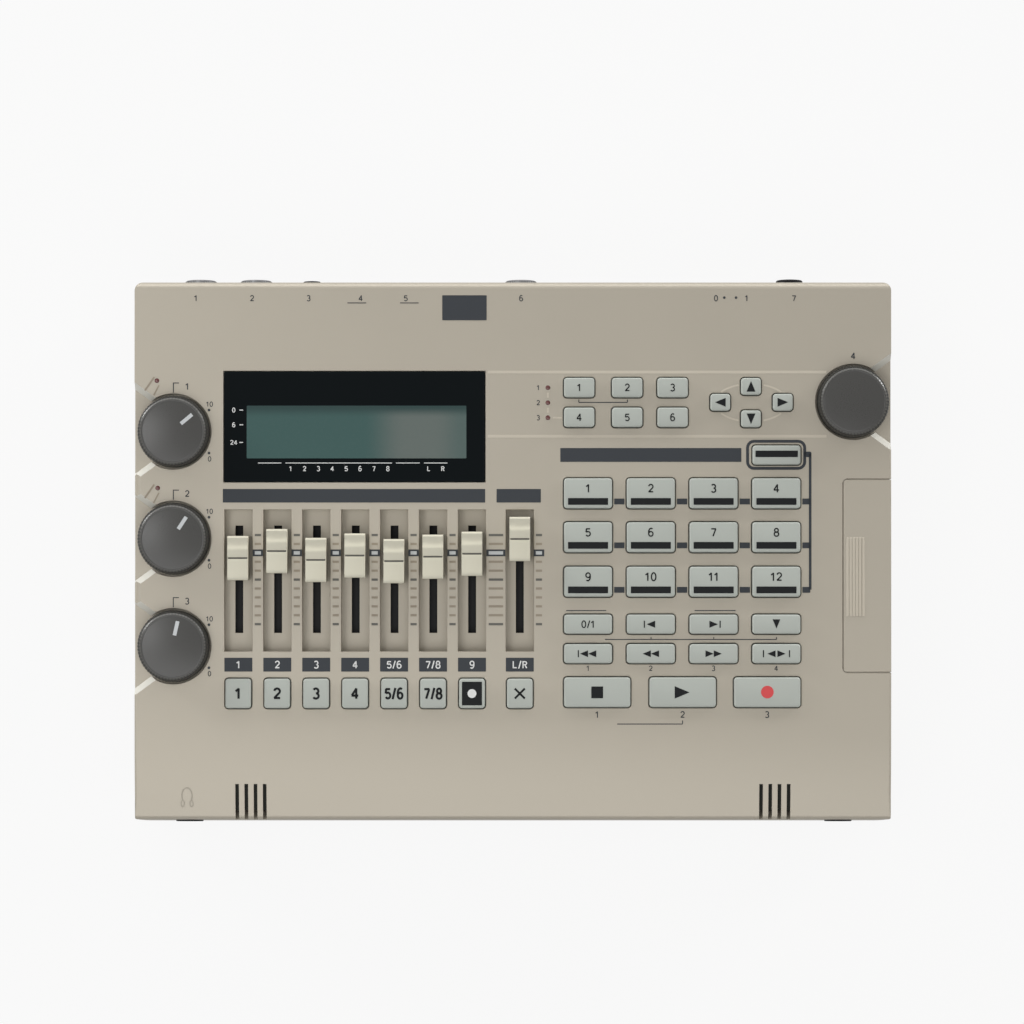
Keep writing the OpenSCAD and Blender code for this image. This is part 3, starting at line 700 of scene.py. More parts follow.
def moulded(node, rim, side):
    """A welded, bevelled copy of a CAD node. rim and side are radii in mm."""
    bm = bmesh.new()
    bm.from_mesh(nodes[node].data)
    bmesh.ops.remove_doubles(bm, verts=bm.verts, dist=3e-6)
    if node == "top_cover":
        cut_away(bm, SLOPES)
    if node in ("top_cover", "bottom_cover"):
        stand_front(bm)
    if node == "card_door":
        lower_grip(bm)
    bmesh.ops.dissolve_limit(bm, angle_limit=math.radians(0.2), verts=bm.verts, edges=bm.edges)
    weight = bm.edges.layers.float.new("bevel_weight_edge")
    for edge in bm.edges:
        if len(edge.link_faces) == 2 and edge.calc_face_angle(0) >= TURN:
            edge[weight] = rim_share(edge, rim / side)
    mesh = bpy.data.meshes.new("sharp_" + node)
    bm.to_mesh(mesh)
    bm.free()
    sharp = settle("sharp_" + node, mesh, None, weld=False)
    soft = sharp.modifiers.new("soft_edges", "BEVEL")
    soft.limit_method, soft.width, soft.segments = "WEIGHT", side * MM, 3
    soft.use_clamp_overlap, soft.miter_outer = False, "MITER_ARC"
    done = plain_mesh(sharp)
    drop(sharp)
    done.name = "dressed_" + node
    done.materials.clear()
    for tone in (paint, slope_paint, rib_highlight_paint):
        done.materials.append(tone.mat)
    for face in done.polygons:
        face.material_index = tone_of(node, face)
    weigh_normals(done)
    print(node, len(done.polygons), "faces")
    return settle("dressed_" + node, done, None, weld=False)


for node, rim, side in (("top_cover", 0.2, 0.9), ("bottom_cover", 0.3, 0.3), ("rear_panel", 0.2, 0.2),
                        ("card_door", 0.2, 0.9), ("battery_cover", 0.3, 0.3)):
    body = node if node in frame["bodies"] else "case"
    seat(moulded(node, rim, side), body, "case_paint", node)

# %% [markdown]
# A lip lies in the gap round the card door, so the gap reads as a soft groove and not as a slit. Its darker
# paint is painted shade in that groove. Its two inner corners are round, which a thin plate in each corner of
# the opening shows.

# %% Seam of the card door
CORNER_R, LIP_R, LIP_END, CORNER_PLATE = 1.15, 1.025, 128.0, 1.5
x, high, low = DOOR[0] + CORNER_R, DOOR[2] - CORNER_R, DOOR[1] + CORNER_R
lip = [(LIP_END, high + LIP_R), *bow(x, high, LIP_R, LIP_R, 90, 180, 7)]
lip += [*bow(x, low, LIP_R, LIP_R, 180, 270, 7), (LIP_END, low - LIP_R)]
s = Sketch()
s.strip(lip, 0.24, groove_shade_paint, -0.42)
for v, way in ((high, 1), (low, -1)):
    inner = bow(x, v, CORNER_R, CORNER_R, 180, 180 - 90 * way, 7)
    left, end = x - CORNER_PLATE, v + CORNER_PLATE * way
    s.plate([(left, v), *inner, (x, end), (left, end)], paint, 0.0, 0.004)
seat(s.piece("door_seam", smooth=None), "case", "case_paint")
print("seam points", len(s.points))

# %% [markdown]
# ## Keys
# A key is a cap with a soft upper edge on a wider flange that keeps it under the panel. The caps are
# lofted, because a bevel on a plain block would thin out at the small corners.

# %% Key shapes
KEY_TOP = INK = 1.6
KEY_R, EDGE = 1.0, 0.45
FLANGE, FLANGE_R, FLANGE_EXTRA = (-4.0, -2.8), 1.2, 1.6
key_count = 0


def key_rings(x, v, w, d):
    """Rings of a key of width w and depth d, from the flange's foot to the rounded top."""
    rings = [(w + FLANGE_EXTRA, d + FLANGE_EXTRA, FLANGE_R, height) for height in FLANGE]
    rings += [(w, d, KEY_R, FLANGE[1]), (w, d, KEY_R, KEY_TOP - EDGE)]
    for i in (1, 2, 3):
        a = math.radians(30 * i)
        inset = EDGE * (1 - math.cos(a))
        height = KEY_TOP - EDGE + EDGE * math.sin(a)
        rings.append((w - 2 * inset, d - 2 * inset, KEY_R - inset * 0.6, height))
    return [[(px, pv, z) for px, pv in rounded(x, v, rw, rd, r)] for rw, rd, r, z in rings]


def key_cap(x, v, w, d):
    """A sketch that holds one bare key."""
    s = Sketch()
    s.loft(key_rings(x, v, w, d), key_plastic)
    return s


def key_piece(node, sketch):
    """Makes a key of a sketch, in place of its CAD node."""
    global key_count
    key_count += 1
    seat(sketch.piece("dressed_" + node), node, "keys", node)


print("rings in a key", len(key_rings(0, 0, 8, 8)))

# %% [markdown]
# ### Track keys
# Eight square keys under the faders carry the track numbers in heavy print. One has a dark face with a
# pale dot, and one a plain cross. They stand right under the fader troughs, so both share one row of x.

# %% Track keys
FADER_X = [-93.2 + 13.22 * i for i in range(7)] + [2.35]
TRACK_V = -48.2
for i, label in enumerate(("1", "2", "3", "4", "5/6", "7/8", "", "")):
    x = FADER_X[i]
    s = key_cap(x, TRACK_V, 8.7, 10.0)
    if label:
        s.words(label, x, TRACK_V, 3.5, black_print, INK, 0.84 if len(label) > 1 else 1.0, 0.22)
    elif i == 6:
        s.bar(x - 3.4, x + 3.4, TRACK_V - 4.0, TRACK_V + 4.0, black_print, INK)
        s.plate(disc(x, TRACK_V, 1.5), pale_print, INK + 0.06)
    else:
        for way in (-1, 1):
            s.strip([(x - 1.7, TRACK_V - 1.7 * way), (x + 1.7, TRACK_V + 1.7 * way)], 0.7, black_print, INK)
    key_piece("track_key_%d" % (i + 1), s)
print("track keys", key_count)

# %% [markdown]
# ### Transport, mode, cursor and pad keys
# Stop, play and record have the signs that every recorder uses, so these can stay as they are. The mode
# keys get plain numbers, and the cursor keys arrows.

# %% Transport and small keys
TRANSPORT = (("stop_key", 28.6), ("play_key", 57.6), ("record_key", 86.3))
PLAY_V = -47.8
MODE_X, MODE_V = (22.5, 38.8, 54.2), (55.6, 45.5)
CURSORS = (("up", 80.8, 56.0, 90), ("down", 80.8, 45.0, 270),
           ("left", 70.4, 50.6, 180), ("right", 91.6, 50.6, 0))
PAD_X = 89.5
for node, x in TRANSPORT:
    s = key_cap(x, PLAY_V, 22.5, 10.1)
    if node == "stop_key":
        s.bar(x - 2.0, x + 2.0, PLAY_V - 2.0, PLAY_V + 2.0, black_print, INK)
    elif node == "play_key":
        s.plate(triangle(x - 0.2, PLAY_V, 4.2, 0), black_print, INK)
    else:
        s.plate(disc(x, PLAY_V + 0.1, 2.15), red_print, INK)
    key_piece(node, s)
for i in range(6):
    x, v = MODE_X[i % 3], MODE_V[i // 3]
    s = key_cap(x, v, 10.3, 6.6)
    s.words(str(i + 1), x, v, 2.4, black_print, INK)
    key_piece("mode_key_%d" % (i + 1), s)
for name, x, v, way in CURSORS:
    s = key_cap(x, v, 6.7, 5.7)
    s.plate(triangle(x, v, 3.0, way), black_print, INK)
    key_piece("cursor_%s_key" % name, s)
s = key_cap(PAD_X, 32.7, 16.3, 6.5)
s.bar(PAD_X - 7.2, PAD_X + 7.2, 32.0, 34.2, black_print, INK)
key_piece("pad_key", s)
print("single keys", key_count)

# %% [markdown]
# ### Key strips
# The grid keys stand four to a moulded strip. Plain numbers take the place of words, and the dark bar
# at the foot of each key stays bare. The locate keys carry the usual skip and wind signs.

# %% Function and locate strips
FUNC_X = (25.5, 46.8, 68.1, 89.4)
FUNC_V = (19.7, 4.8, -10.3)
LOCATE_V = (-24.7, -34.7)


def rail(v, w):
    """The bar under the panel that joins four keys."""
    left, right, front, rear = FUNC_X[0], FUNC_X[3], v - 1.5, v + 1.5
    return [(left, front, w), (right, front, w), (right, rear, w), (left, rear, w)]


def strip_of_keys(rows, depth):
    """Rows of four bare keys, each row on its rail."""
    s = Sketch()
    for v in rows:
        for x in FUNC_X:
            s.loft(key_rings(x, v, 16.3, depth), key_plastic)
        s.loft([rail(v, FLANGE[0] + 0.05), rail(v, FLANGE[1] - 0.05)], key_plastic)
    return s


def arrow(s, x, v, size, way):
    s.plate(triangle(x, v, size, way), black_print, INK)


def stop_line(s, x, v):
    """The upright stroke beside an arrow."""
    s.bar(x - 0.2, x + 0.2, v - 1.2, v + 1.2, black_print, INK, r=0.05)


def locate_ink(s):
    """The signs on the two rows of locate keys."""
    v, low = LOCATE_V
    s.words("0/1", FUNC_X[0], v, 2.3, black_print, INK)
    for x, way, side in ((FUNC_X[1], 180, -2.2), (FUNC_X[2], 0, 2.2)):
        arrow(s, x, v, 2.4, way)
        stop_line(s, x + side, v)
    arrow(s, FUNC_X[3], v + 0.1, 2.6, 270)
    for x, way in zip(FUNC_X, (180, 180, 0)):
        for step in (-1.4, 1.4):
            arrow(s, x + step, low, 2.3, way)
    stop_line(s, FUNC_X[0] - 3.3, low)
    for step, way in ((-1.7, 180), (1.7, 0)):
        arrow(s, FUNC_X[3] + step, low, 2.3, way)
        stop_line(s, FUNC_X[3] + step * 2.6, low)


for row, v in enumerate(FUNC_V):
    s = strip_of_keys((v,), 10.2)
    for i, x in enumerate(FUNC_X):
        s.bar(x - 6.8, x + 6.8, v - 3.9, v - 1.6, black_print, INK)
        s.words(str(row * 4 + i + 1), x, v + 1.7, 2.7, black_print, INK)
    key_piece("function_row_%d" % (row + 1), s)
s = strip_of_keys(LOCATE_V, 6.5)
locate_ink(s)
key_piece("locate_rows", s)
print("keys and strips", key_count)

# %% [markdown]
# ## Fader caps
# An ivory cap is a block with two finger hollows and a dark line across its middle. Its side profile is
# drawn once and extruded, and a narrow bevel softens every edge. Each cap stands where it was left.

# %% Fader caps
CAP_W, CAP_TOP, CAP_FOOT = 7.0, 5.0, -4.2
TROUGH_TOP, CAP_HALF, CLEARANCE = 14.2, 7.5, 1.6
FADER_TOP = TROUGH_TOP - CAP_HALF - CLEARANCE
FADER_DROP = (7.37, 5.0, 8.0, 6.5, 8.4, 6.9, 5.9, 0.9)
LEVER = ((-0.6, -2), (0.6, -2), (0.6, 2), (-0.6, 2))


def cap_profile():
    """Side profile (v, w): a finger hollow behind the line and a gentle one before it."""
    line = [(7.5, CAP_FOOT), (7.5, 4.2), (7.35, 4.7), (6.9, CAP_TOP)]
    line += [(6.6 - 3.5 * i / 8, CAP_TOP - 0.55 * math.sin(math.pi * i / 8)) for i in range(1, 8)]
    line += [(3.0, 4.97), (2.6, 4.9), (0.36, 4.6), (0.3, 4.3), (-0.3, 4.3), (-0.36, 4.6)]
    line += [(-1.5 - 0.8 * i, 4.58 + 0.004 * i * i) for i in range(7)]
    return line + [(-7.0, 4.7), (-7.35, 4.5), (-7.5, 4.1), (-7.5, CAP_FOOT)]


def extruded(profile, x0, x1, width):
    """A block from a (v, w) profile, with its edges bevelled by width."""
    bm = bmesh.new()
    left = [bm.verts.new((x0, v, w)) for v, w in profile]
    right = [bm.verts.new((x1, v, w)) for v, w in profile]
    n = len(profile)
    for i in range(n):
        bm.faces.new((left[i], left[(i + 1) % n], right[(i + 1) % n], right[i]))
    bm.faces.new(left)
    bm.faces.new(list(reversed(right)))
    bmesh.ops.recalc_face_normals(bm, faces=bm.faces)
    hard = [e for e in bm.edges if e.calc_face_angle(0) > math.radians(40)]
    bmesh.ops.bevel(bm, geom=hard, offset=width, segments=2, affect="EDGES", profile=0.6, clamp_overlap=True)
    bm.verts.index_update()
    points = [tuple(p.co) for p in bm.verts]
    faces = [[p.index for p in f.verts] for f in bm.faces]
    bm.free()
    return points, faces


points, faces = extruded(cap_profile(), -CAP_W / 2, CAP_W / 2, 0.22)
for i, x in enumerate(FADER_X):
    node = "fader_master" if i == 7 else "fader_%d" % (i + 1)
    v = FADER_TOP - FADER_DROP[i]
    s = Sketch()
    s.add([(x + a, v + b, c) for a, b, c in points], faces, ivory)
    s.bar(x - CAP_W / 2 + 0.25, x + CAP_W / 2 - 0.25, v - 0.28, v + 0.28, grey_line, 4.32, r=0.02)
    s.loft([[(x + a, v + b, w) for a, b in LEVER] for w in (-7.2, CAP_FOOT + 0.1)], steel)
    seat(s.piece("dressed_" + node), node, "fader_caps", node)
print("fader caps", len(FADER_X), "points each", len(points))

# %% [markdown]
# ## Repeats by Geometry Nodes
# Ribs round a knob, knurls round a nut and scale ticks beside the faders all repeat one small block. A
# node tree instances it on a circle or on a line, and named inputs hold its sizes, so one tree serves
# every use. The result becomes a plain mesh, because an export drops instances.

# %% Node trees for repeats


class Repeat(NodeTree):
    """A Geometry Nodes tree with named number inputs."""

    def __init__(self, name, **sizes):
        super().__init__(bpy.data.node_groups.new(name, "GeometryNodeTree"))
        self.tree.interface.new_socket("Geometry", in_out="OUTPUT", socket_type="NodeSocketGeometry")
        for label, value in sizes.items():
            kind = {int: "NodeSocketInt", float: "NodeSocketFloat"}.get(type(value), "NodeSocketVector")
            self.tree.interface.new_socket(label, in_out="INPUT", socket_type=kind).default_value = value
        self.given = self.tree.nodes.new("NodeGroupInput")
        self.result = self.tree.nodes.new("NodeGroupOutput")

    def size(self, label):
        return Socket(self, self.given.outputs[label])

    def end(self, geometry, finish):
        plain = self.node("GeometryNodeRealizeInstances", {}, {"Geometry": geometry})
        dyed = self.node("GeometryNodeSetMaterial", {}, {"Geometry": plain, "Material": finish.mat})
        self.put(self.result.inputs[0], dyed)
        return self

    def grow(self, **sizes):
        """Points and faces of the tree's result for these sizes."""
        host = settle("host", bpy.data.meshes.new("host"), None, weld=False)
        mod = host.modifiers.new("repeat", "NODES")
        mod.node_group = self.tree
        for item in self.tree.interface.items_tree:
            if item.in_out == "INPUT" and item.name in sizes:
                mod[item.identifier] = sizes[item.name]
        mesh = plain_mesh(host)
        host.modifiers.remove(mod)
        got = [tuple(p.co) for p in mesh.vertices], [list(f.vertices) for f in mesh.polygons]
        drop(host)
        bpy.data.meshes.remove(mesh)
        return got


def ring_tree(finish):
    """Blocks on a circle, each turned outwards and tipped by Lean."""
    t = Repeat("ribs_round_a_rim", Count=90, Radius=12.0, Block=(1.0, 0.4, 3.0), Lean=0.0)
    ring = t.node("GeometryNodeMeshCircle", {}, {"Vertices": t.size("Count"), "Radius": t.size("Radius")})
    block = t.node("GeometryNodeMeshCube", {}, {"Size": t.size("Block")})
    place = t.node("GeometryNodeInputPosition")
    aim = t.node("FunctionNodeAlignRotationToVector", {"axis": "X"}, {"Vector": place})
    lean = t.node("ShaderNodeCombineXYZ", {}, {"Y": t.size("Lean")})
    tip = t.node("FunctionNodeEulerToRotation", {}, {0: lean})
    turned = t.node("FunctionNodeRotateRotation", {"rotation_space": "LOCAL"}, {0: aim, 1: tip})
    many = t.node("GeometryNodeInstanceOnPoints", {}, {"Points": ring, "Instance": block, "Rotation": turned})
    return t.end(many, finish)


def line_tree(finish):
    """Blocks on a straight line."""
    t = Repeat("blocks_on_a_line", Count=11, Step=(0.0, -3.0, 0.0), Block=(2.0, 0.4, 0.1))
    line = t.node("GeometryNodeMeshLine", {}, {"Count": t.size("Count"), "Offset": t.size("Step")})
    block = t.node("GeometryNodeMeshCube", {}, {"Size": t.size("Block")})
    many = t.node("GeometryNodeInstanceOnPoints", {}, {"Points": line, "Instance": block})
    return t.end(many, finish)


rim_ribs, line_blocks = ring_tree(knob_plastic), line_tree(slate_print)
print("trees", [g.name for g in bpy.data.node_groups])

# %% [markdown]
# ## Knobs and the value dial
# A knob is turned on a lathe: a straight side, a bevel and a low dome inside a fine groove. Fine ribs
# round the side give grip, and a pale line that follows the dome is the pointer. The dial turns without
# end, so it has no pointer. A section of (radius, height) turned in code does the lathe's work.

# %% Knobs
KNOB_FOOT, KNOB_TOP, KNOB_X = -2.5, 6.0, -115.3
KNOB_SECTION = ((0.05, KNOB_FOOT), (12.0, KNOB_FOOT), (12.2, KNOB_FOOT + 0.3), (12.1, 0.2), (11.42, 4.75),
                (11.3, 4.95), (10.7, 5.4), (10.45, 5.42), (10.25, 5.34), (10.05, 5.39), (9.8, 5.42),
                (7.5, 5.66), (5.0, 5.85), (2.5, 5.96), (0.05, KNOB_TOP))
SIDE_BANDS, LATHE_STEPS, RIB_COUNT = 5, 128, 64
DOME = 0.00604
SHAFT = ((3.0, -7.7), (3.0, KNOB_FOOT + 0.1))
RIBS = ((11.72, 2.4, -8.2, (0.4, 0.7, 4.4), knob_side_shade), (11.0, 5.14, -53.0, (0.2, 0.55, 0.6), knob_plastic))
KNOBS = (("knob_1", 40.7, 40), ("knob_2", 4.3, 57), ("knob_3", -32.2, 77.5))


def lathe(section, x, v, steps=LATHE_STEPS):
    """Rings of a section of (radius, height) turned about the upright at (x, v)."""
    return [[(px, pv, height) for px, pv in disc(x, v, r, steps)] for r, height in section]


def knob_piece(node, x, v, turn=None):
    """A knob at (x, v). turn is the pointer's angle in degrees, 0 to the right."""
    s = Sketch()
    s.loft(lathe(KNOB_SECTION, x, v), knob_plastic)
    # Painted shade on the side bands and their ribs, and a painted highlight on the bevel band.
    side = SIDE_BANDS * LATHE_STEPS
    s.marks[:side] = [s.mark(knob_side_shade)] * side
    s.marks[side:side + LATHE_STEPS] = [s.mark(knob_bevel_highlight)] * LATHE_STEPS
    for radius, height, lean, block, finish in RIBS:
        ribs, faces = rim_ribs.grow(Count=RIB_COUNT, Radius=radius, Block=block, Lean=math.radians(lean))
        s.add([(x + a, v + b, c + height) for a, b, c in ribs], faces, finish)
    s.loft(lathe(SHAFT, x, v, 32), steel)
    if turn is not None:
        a = math.radians(turn)
        start = len(s.points)
        ends = [(x + r * math.cos(a), v + r * math.sin(a)) for r in (3.9, 6.4, 8.8)]
        s.strip(ends, 1.25, pointer_paint, KNOB_TOP)
        flat = s.points[start:]
        s.points[start:] = [(a, b, c - DOME * ((a - x) ** 2 + (b - v) ** 2)) for a, b, c in flat]
    seat(s.piece("dressed_" + node), node, "knobs", node)


for node, v, turn in KNOBS:
    knob_piece(node, KNOB_X, v, turn)
knob_piece("value_dial", 115.6, 50.8)
print("knobs", len(KNOBS) + 1)

# %% [markdown]
# ## The display window
# A gloss black plate lies flush in the panel. The display shows through a clear field in it, with white
# level marks at the left and track numbers along the foot. The name panel above it is left bare.

# %% Window and display
WINDOW = (-98.3, 23.4, -9.3, 61.3)
FIELD = (-90.4, 31.6, -15.8, 49.5)
WINDOW_GAP = 0.3


def spread(x0, v0, x1, v1):
    """Middle and size of a rectangle given by two corners."""
    return (x0 + x1) / 2, (v0 + v1) / 2, x1 - x0, v1 - v0


x, v, wide, deep = spread(*WINDOW)
wide, deep = wide - WINDOW_GAP, deep - WINDOW_GAP
s = Sketch()
s.loft([[(px, pv, z) for px, pv in rounded(x, v, wide - 2 * inset, deep - 2 * inset, 0.4)]
        for inset, z in ((0, -1.6), (0, -0.15), (0.15, 0.0))], window_gloss)
seat(s.piece("dressed_lcd_window"), "case", "window", "lcd_window")
s = Sketch()
s.plate(rounded(*spread(*FIELD), 0.3), display, 0.0, 0.03)
seat(s.piece("display_field"), "case", "display")
s = Sketch()
for v, text in ((48.0, "0"), (43.0, "6"), (37.0, "24")):
    s.words(text, -94.8, v, 1.5, pale_print)
    s.bar(-92.9, -91.6, v - 0.15, v + 0.15, pale_print)
for x0, x1 in ((-86.6, -78.6), (-77.3, -41.0), (-39.7, -31.6), (-30.2, -22.2)):
    s.bar(x0, x1, 29.9, 30.15, pale_print)
for i in range(8):
    s.words(str(i + 1), -75.5 + 4.72 * i, 28.1, 1.6, pale_print)
for x, text in ((-28.6, "L"), (-23.8, "R")):
    s.words(text, x, 28.1, 1.6, pale_print)
seat(s.piece("window_print"), "case", "window")
print("window", round(wide, 1), "by", round(deep, 1))

# %% [markdown]
# ## Print on the panel
# The panel is screen printed: slate bars head each section, number plates stand under the faders, and
# lines join the keys that work together. Words are left out and plain numbers stand in their places.

# %% Bars, plates and links
s = Sketch()
for x0, x1, v0, v1 in ((-98.5, -9.4, 16.6, 21.2), (-5.55, 9.5, 16.6, 21.2), (16.1, 77.6, 30.4, 35.1),
                       (-24.0, -8.9, 78.5, 87.0)):
    s.bar(x0, x1, v0, v1, slate_print)
for x, text in zip(FADER_X, ("1", "2", "3", "4", "5/6", "7/8", "9", "L/R")):
    s.bar(x - 4.75, x + 4.75, -40.8, -36.1, slate_print)
    s.words(text, x, -38.45, 2.4, pale_print, 0.05)
LINKS = [(x0 + 8.9, x1 - 8.9) for x0, x1 in zip(FUNC_X[:-1], FUNC_X[1:])] + [(FUNC_X[3] + 8.9, 101.0)]
for v in FUNC_V:
    for x0, x1 in LINKS:
        s.bar(x0, x1, v - 3.75, v - 1.75, slate_print)
s.bar(98.9, 101.4, 32.0, 33.9, slate_print, r=0.5)
s.strip([(100.95, 33.2), (100.95, -13.0)], 0.9, slate_print)
s.strip(rounded(89.4, 32.8, 19.4, 9.2, 2.2, 5), 1.0, slate_print, closed=True)
seat(s.piece("panel_bars"), "case", "case_paint")
print("links between keys", len(LINKS) * len(FUNC_V))

# %% [markdown]
# ### Fader scales
# Eleven ticks stand in each gap between the troughs, three millimetres apart. The line tree places them:
# first the pale ticks, then the darker first, middle and last ones, then the block at the third place.

# %% Fader scales
TICK_TOP, TICK_STEP = 5.55, 3.025
NARROW, WIDE = (2.1, 3.6), (4.9, 6.5)
GAPS = [((a + b) / 2, NARROW if i < 6 else WIDE) for i, (a, b) in enumerate(zip(FADER_X[:-1], FADER_X[1:]))]
GAPS.append((FADER_X[7] + 6.5, NARROW))
s = Sketch()


def ticks(x, width, first, count, step, thick, finish, lift=0.0):
    """A column of ticks from v = first towards the front, on the present sketch."""
    points, faces = line_blocks.grow(Count=count, Step=(0.0, -step, 0.0), Block=(width, thick, 0.08))
    s.add([(x + a, first + b, c + lift) for a, b, c in points], faces, finish)


for x, (width, block) in GAPS:
    third = TICK_TOP - 2 * TICK_STEP
    ticks(x, width, TICK_TOP, 11, TICK_STEP, 0.75, tick_print)
    ticks(x, width, TICK_TOP, 3, TICK_STEP * 5, 0.78, grey_line, 0.02)
    ticks(x, block, third, 1, TICK_STEP, 2.3, slate_print, 0.03)
    ticks(x, width, third, 1, TICK_STEP, 1.15, pointer_paint, 0.06)
seat(s.piece("fader_scales"), "case", "case_paint")
print("scales", len(GAPS))

# %% [markdown]
# ### Numbers and thin lines
# Plain numbers mark the sockets at the rear, the knobs and the ends of their turn. Thin lines tie a
# number to its keys. All of it is drawn on one mesh, as one screen prints it all.

# %% Small print
LINE = 0.32
LINES = (((35.4, -58.6), (57.6, -58.6), (57.6, -57.4)), ((18.1, -20.1), (31.7, -20.1)),
         ((61.7, -20.1), (75.6, -20.1)), ((31.3, -29.9), (89.5, -29.9), (89.5, -29.1)),
         ((46.9, -29.9), (46.9, -29.1)), ((68.2, -29.9), (68.2, -29.1)),
         ((22.4, 51.6), (22.4, 50.6), (38.9, 50.6), (38.9, 51.6)))
s = Sketch()


def number_row(places, size):
    """Numbers from 1 on at the given places, on the present sketch."""
    for i, (x, v) in enumerate(places):
        s.words(str(i + 1), x, v, size, slate_print)


number_row([(x, 86.0) for x in (-107.7, -88.6, -69.4, -51.7, -36.4, 2.8, 95.5)], 1.9)
number_row([(KNOB_X + 4.7, v + 15.3) for _, v, _ in KNOBS] + [(115.6, 66.4)], 2.1)
number_row([(8.6, v) for v in (55.6, 50.5, 45.4)], 1.6)
number_row([(x, PLAY_V - 7.6) for _, x in TRANSPORT], 2.1)
number_row([(x, LOCATE_V[1] - 5.0) for x in FUNC_X], 1.7)
for x, text in ((69.0, "0"), (79.4, "1")):
    s.words(text, x, 86.0, 1.9, slate_print)
for x in (71.8, 75.8):
    s.plate(disc(x, 86.2, 0.45, 16), slate_print)
for x0, x1 in ((-56.2, -49.8), (-38.3, -32.0)):
    s.strip([(x0, 84.4), (x1, 84.4)], 0.3, slate_print)
for _, v, _ in KNOBS:
    s.strip([(KNOB_X, v + 13.2), (KNOB_X, v + 16.6)], LINE, slate_print)
    s.strip([(KNOB_X - 0.1, v + 16.5), (KNOB_X + 1.9, v + 16.5)], LINE, slate_print)
    for sign, text in ((1, "10"), (-1, "0")):
        s.plate(disc(-103.2, v + sign * 7.3, 0.48, 16), slate_print)
        s.words(text, -103.0, v + sign * 9.3, 1.6, slate_print)
for line in LINES:
    for a, b in zip(line[:-1], line[1:]):
        s.strip([a, b], LINE, slate_print)
seat(s.piece("small_print"), "case", "case_paint")
print("small print points", len(s.points))

# %% [markdown]
# ## Lamps and sunk lines
# Five small lamps look out of the panel. Shallow light lines are moulded into it: a ring that links the
# cursor keys, and a line from the three status lamps to their key. They are drawn as strips of lighter
# paint, a painted highlight along each groove, because a groove of a tenth of a millimetre would only show as
# a change of tone.

# %% Lamps and light lines
LAMPS = ((11.9, 55.6), (11.9, 50.5), (11.9, 45.4), (-120.9, 58.0), (-120.6, 21.5))
LAMP_SECTION = ((0.93, -14.0), (0.93, -0.35), (0.8, -0.05), (0.6, 0.08), (0.3, 0.13), (0.02, 0.15))
s = Sketch()
for x, v in LAMPS:
    s.loft(lathe(LAMP_SECTION, x, v, 28), lamp_red)
seat(s.piece("dressed_lamps"), "case", "lamp", "lamps")
s = Sketch()
for x, v in LAMPS:
    s.strip(disc(x, v, 1.12, 28), 0.6, paint, -0.02, closed=True)
for quarter in (0, 90, 180, 270):
    first, last = (34, 70) if quarter % 180 == 0 else (20, 56)
    s.strip(bow(80.9, 50.5, 12.3, 6.4, quarter + first, quarter + last), 0.6, highlight_line_paint)
for a, b in (((11.9, 53.9), (11.9, 52.2)), ((11.9, 48.8), (11.9, 47.1)), ((13.6, 45.4), (16.6, 45.4))):
    s.strip([a, b], 0.6, highlight_line_paint)
# Two long lines across the panel: painted highlights along low steps in it.
for v in (60.9, 39.1):
    s.strip([(-8.6, v), (106.5, v)], 0.95, highlight_line_paint)
seat(s.piece("highlight_lines"), "case", "case_paint")
# Dark strips from the two peak lamps: painted shade in the shallow grooves beside them.
s = Sketch()
for _, v in LAMPS[3:]:
    s.strip([(-121.8, v + 1.2), (-125.0, v - 3.4)], 0.6, tick_print)
    s.strip([(-120.2, v - 1.6), (-122.0, v - 5.0)], 0.45, tick_print)
seat(s.piece("lamp_groove_shade"), "case", "case_paint")
print("lamps", len(LAMPS))

# %% [markdown]
# ## Cloth behind the microphone slots
# A dark cloth keeps dust out of the microphones. It lies in the thickness of the wall, where only the
# slots show it, so a thin band that follows the roll is enough.

# %% Microphone cloth
CLOTH_HALF, CLOTH_THICK, CLOTH_DEEP = 6.0, 0.3, 1.3
s = Sketch()
for x in (-89.0, 89.0):
    left, right = x - CLOTH_HALF, x + CLOTH_HALF
    rings = []
    for v in range(-78, -90, -2):
        top = roll_drop(v) - CLOTH_DEEP
        low = top - CLOTH_THICK
        rings.append([(left, v, top), (right, v, top), (right, v, low), (left, v, low)])
    s.loft(rings, cloth)
seat(s.piece("microphone_cloth"), "case", "black_plastic")
print("cloth under", len(rings), "rows")

# %% [markdown]
# The sign for headphones is moulded into the roll, over their socket. It is drawn flat like the print, in a
# darker tint that is painted shade along its relief, and then each point is let down by the roll's own fall.

# %% Headphone sign
x, v = -110.7, -83.0
s = Sketch()
s.strip(bow(x, v, 1.75, 2.7, 205, -25, 14), 0.36, groove_shade_paint)
for side in (-1, 1):
    s.strip([(x + 1.6 * side, v - 1.1), (x + 1.25 * side, v - 1.8)], 0.36, groove_shade_paint)
    s.strip(bow(x + 1.5 * side, v - 2.7, 0.55, 1.1, 0, 345, 24), 0.3, groove_shade_paint, closed=True)
s.points = [(a, b, c + roll_drop(b)) for a, b, c in s.points]
seat(s.piece("headphone_sign"), "case", "case_paint")
print("sign points", len(s.points))

# %% [markdown]
# ## The sockets
# The socket barrels come from the CAD. What a buyer would see round them is added here: collars that
# stand out past the front and rear edges, knurled nuts on washers, and the coloured rings that tell the
# two line outputs apart. Knurls use the same tree as the ribs of the knobs.

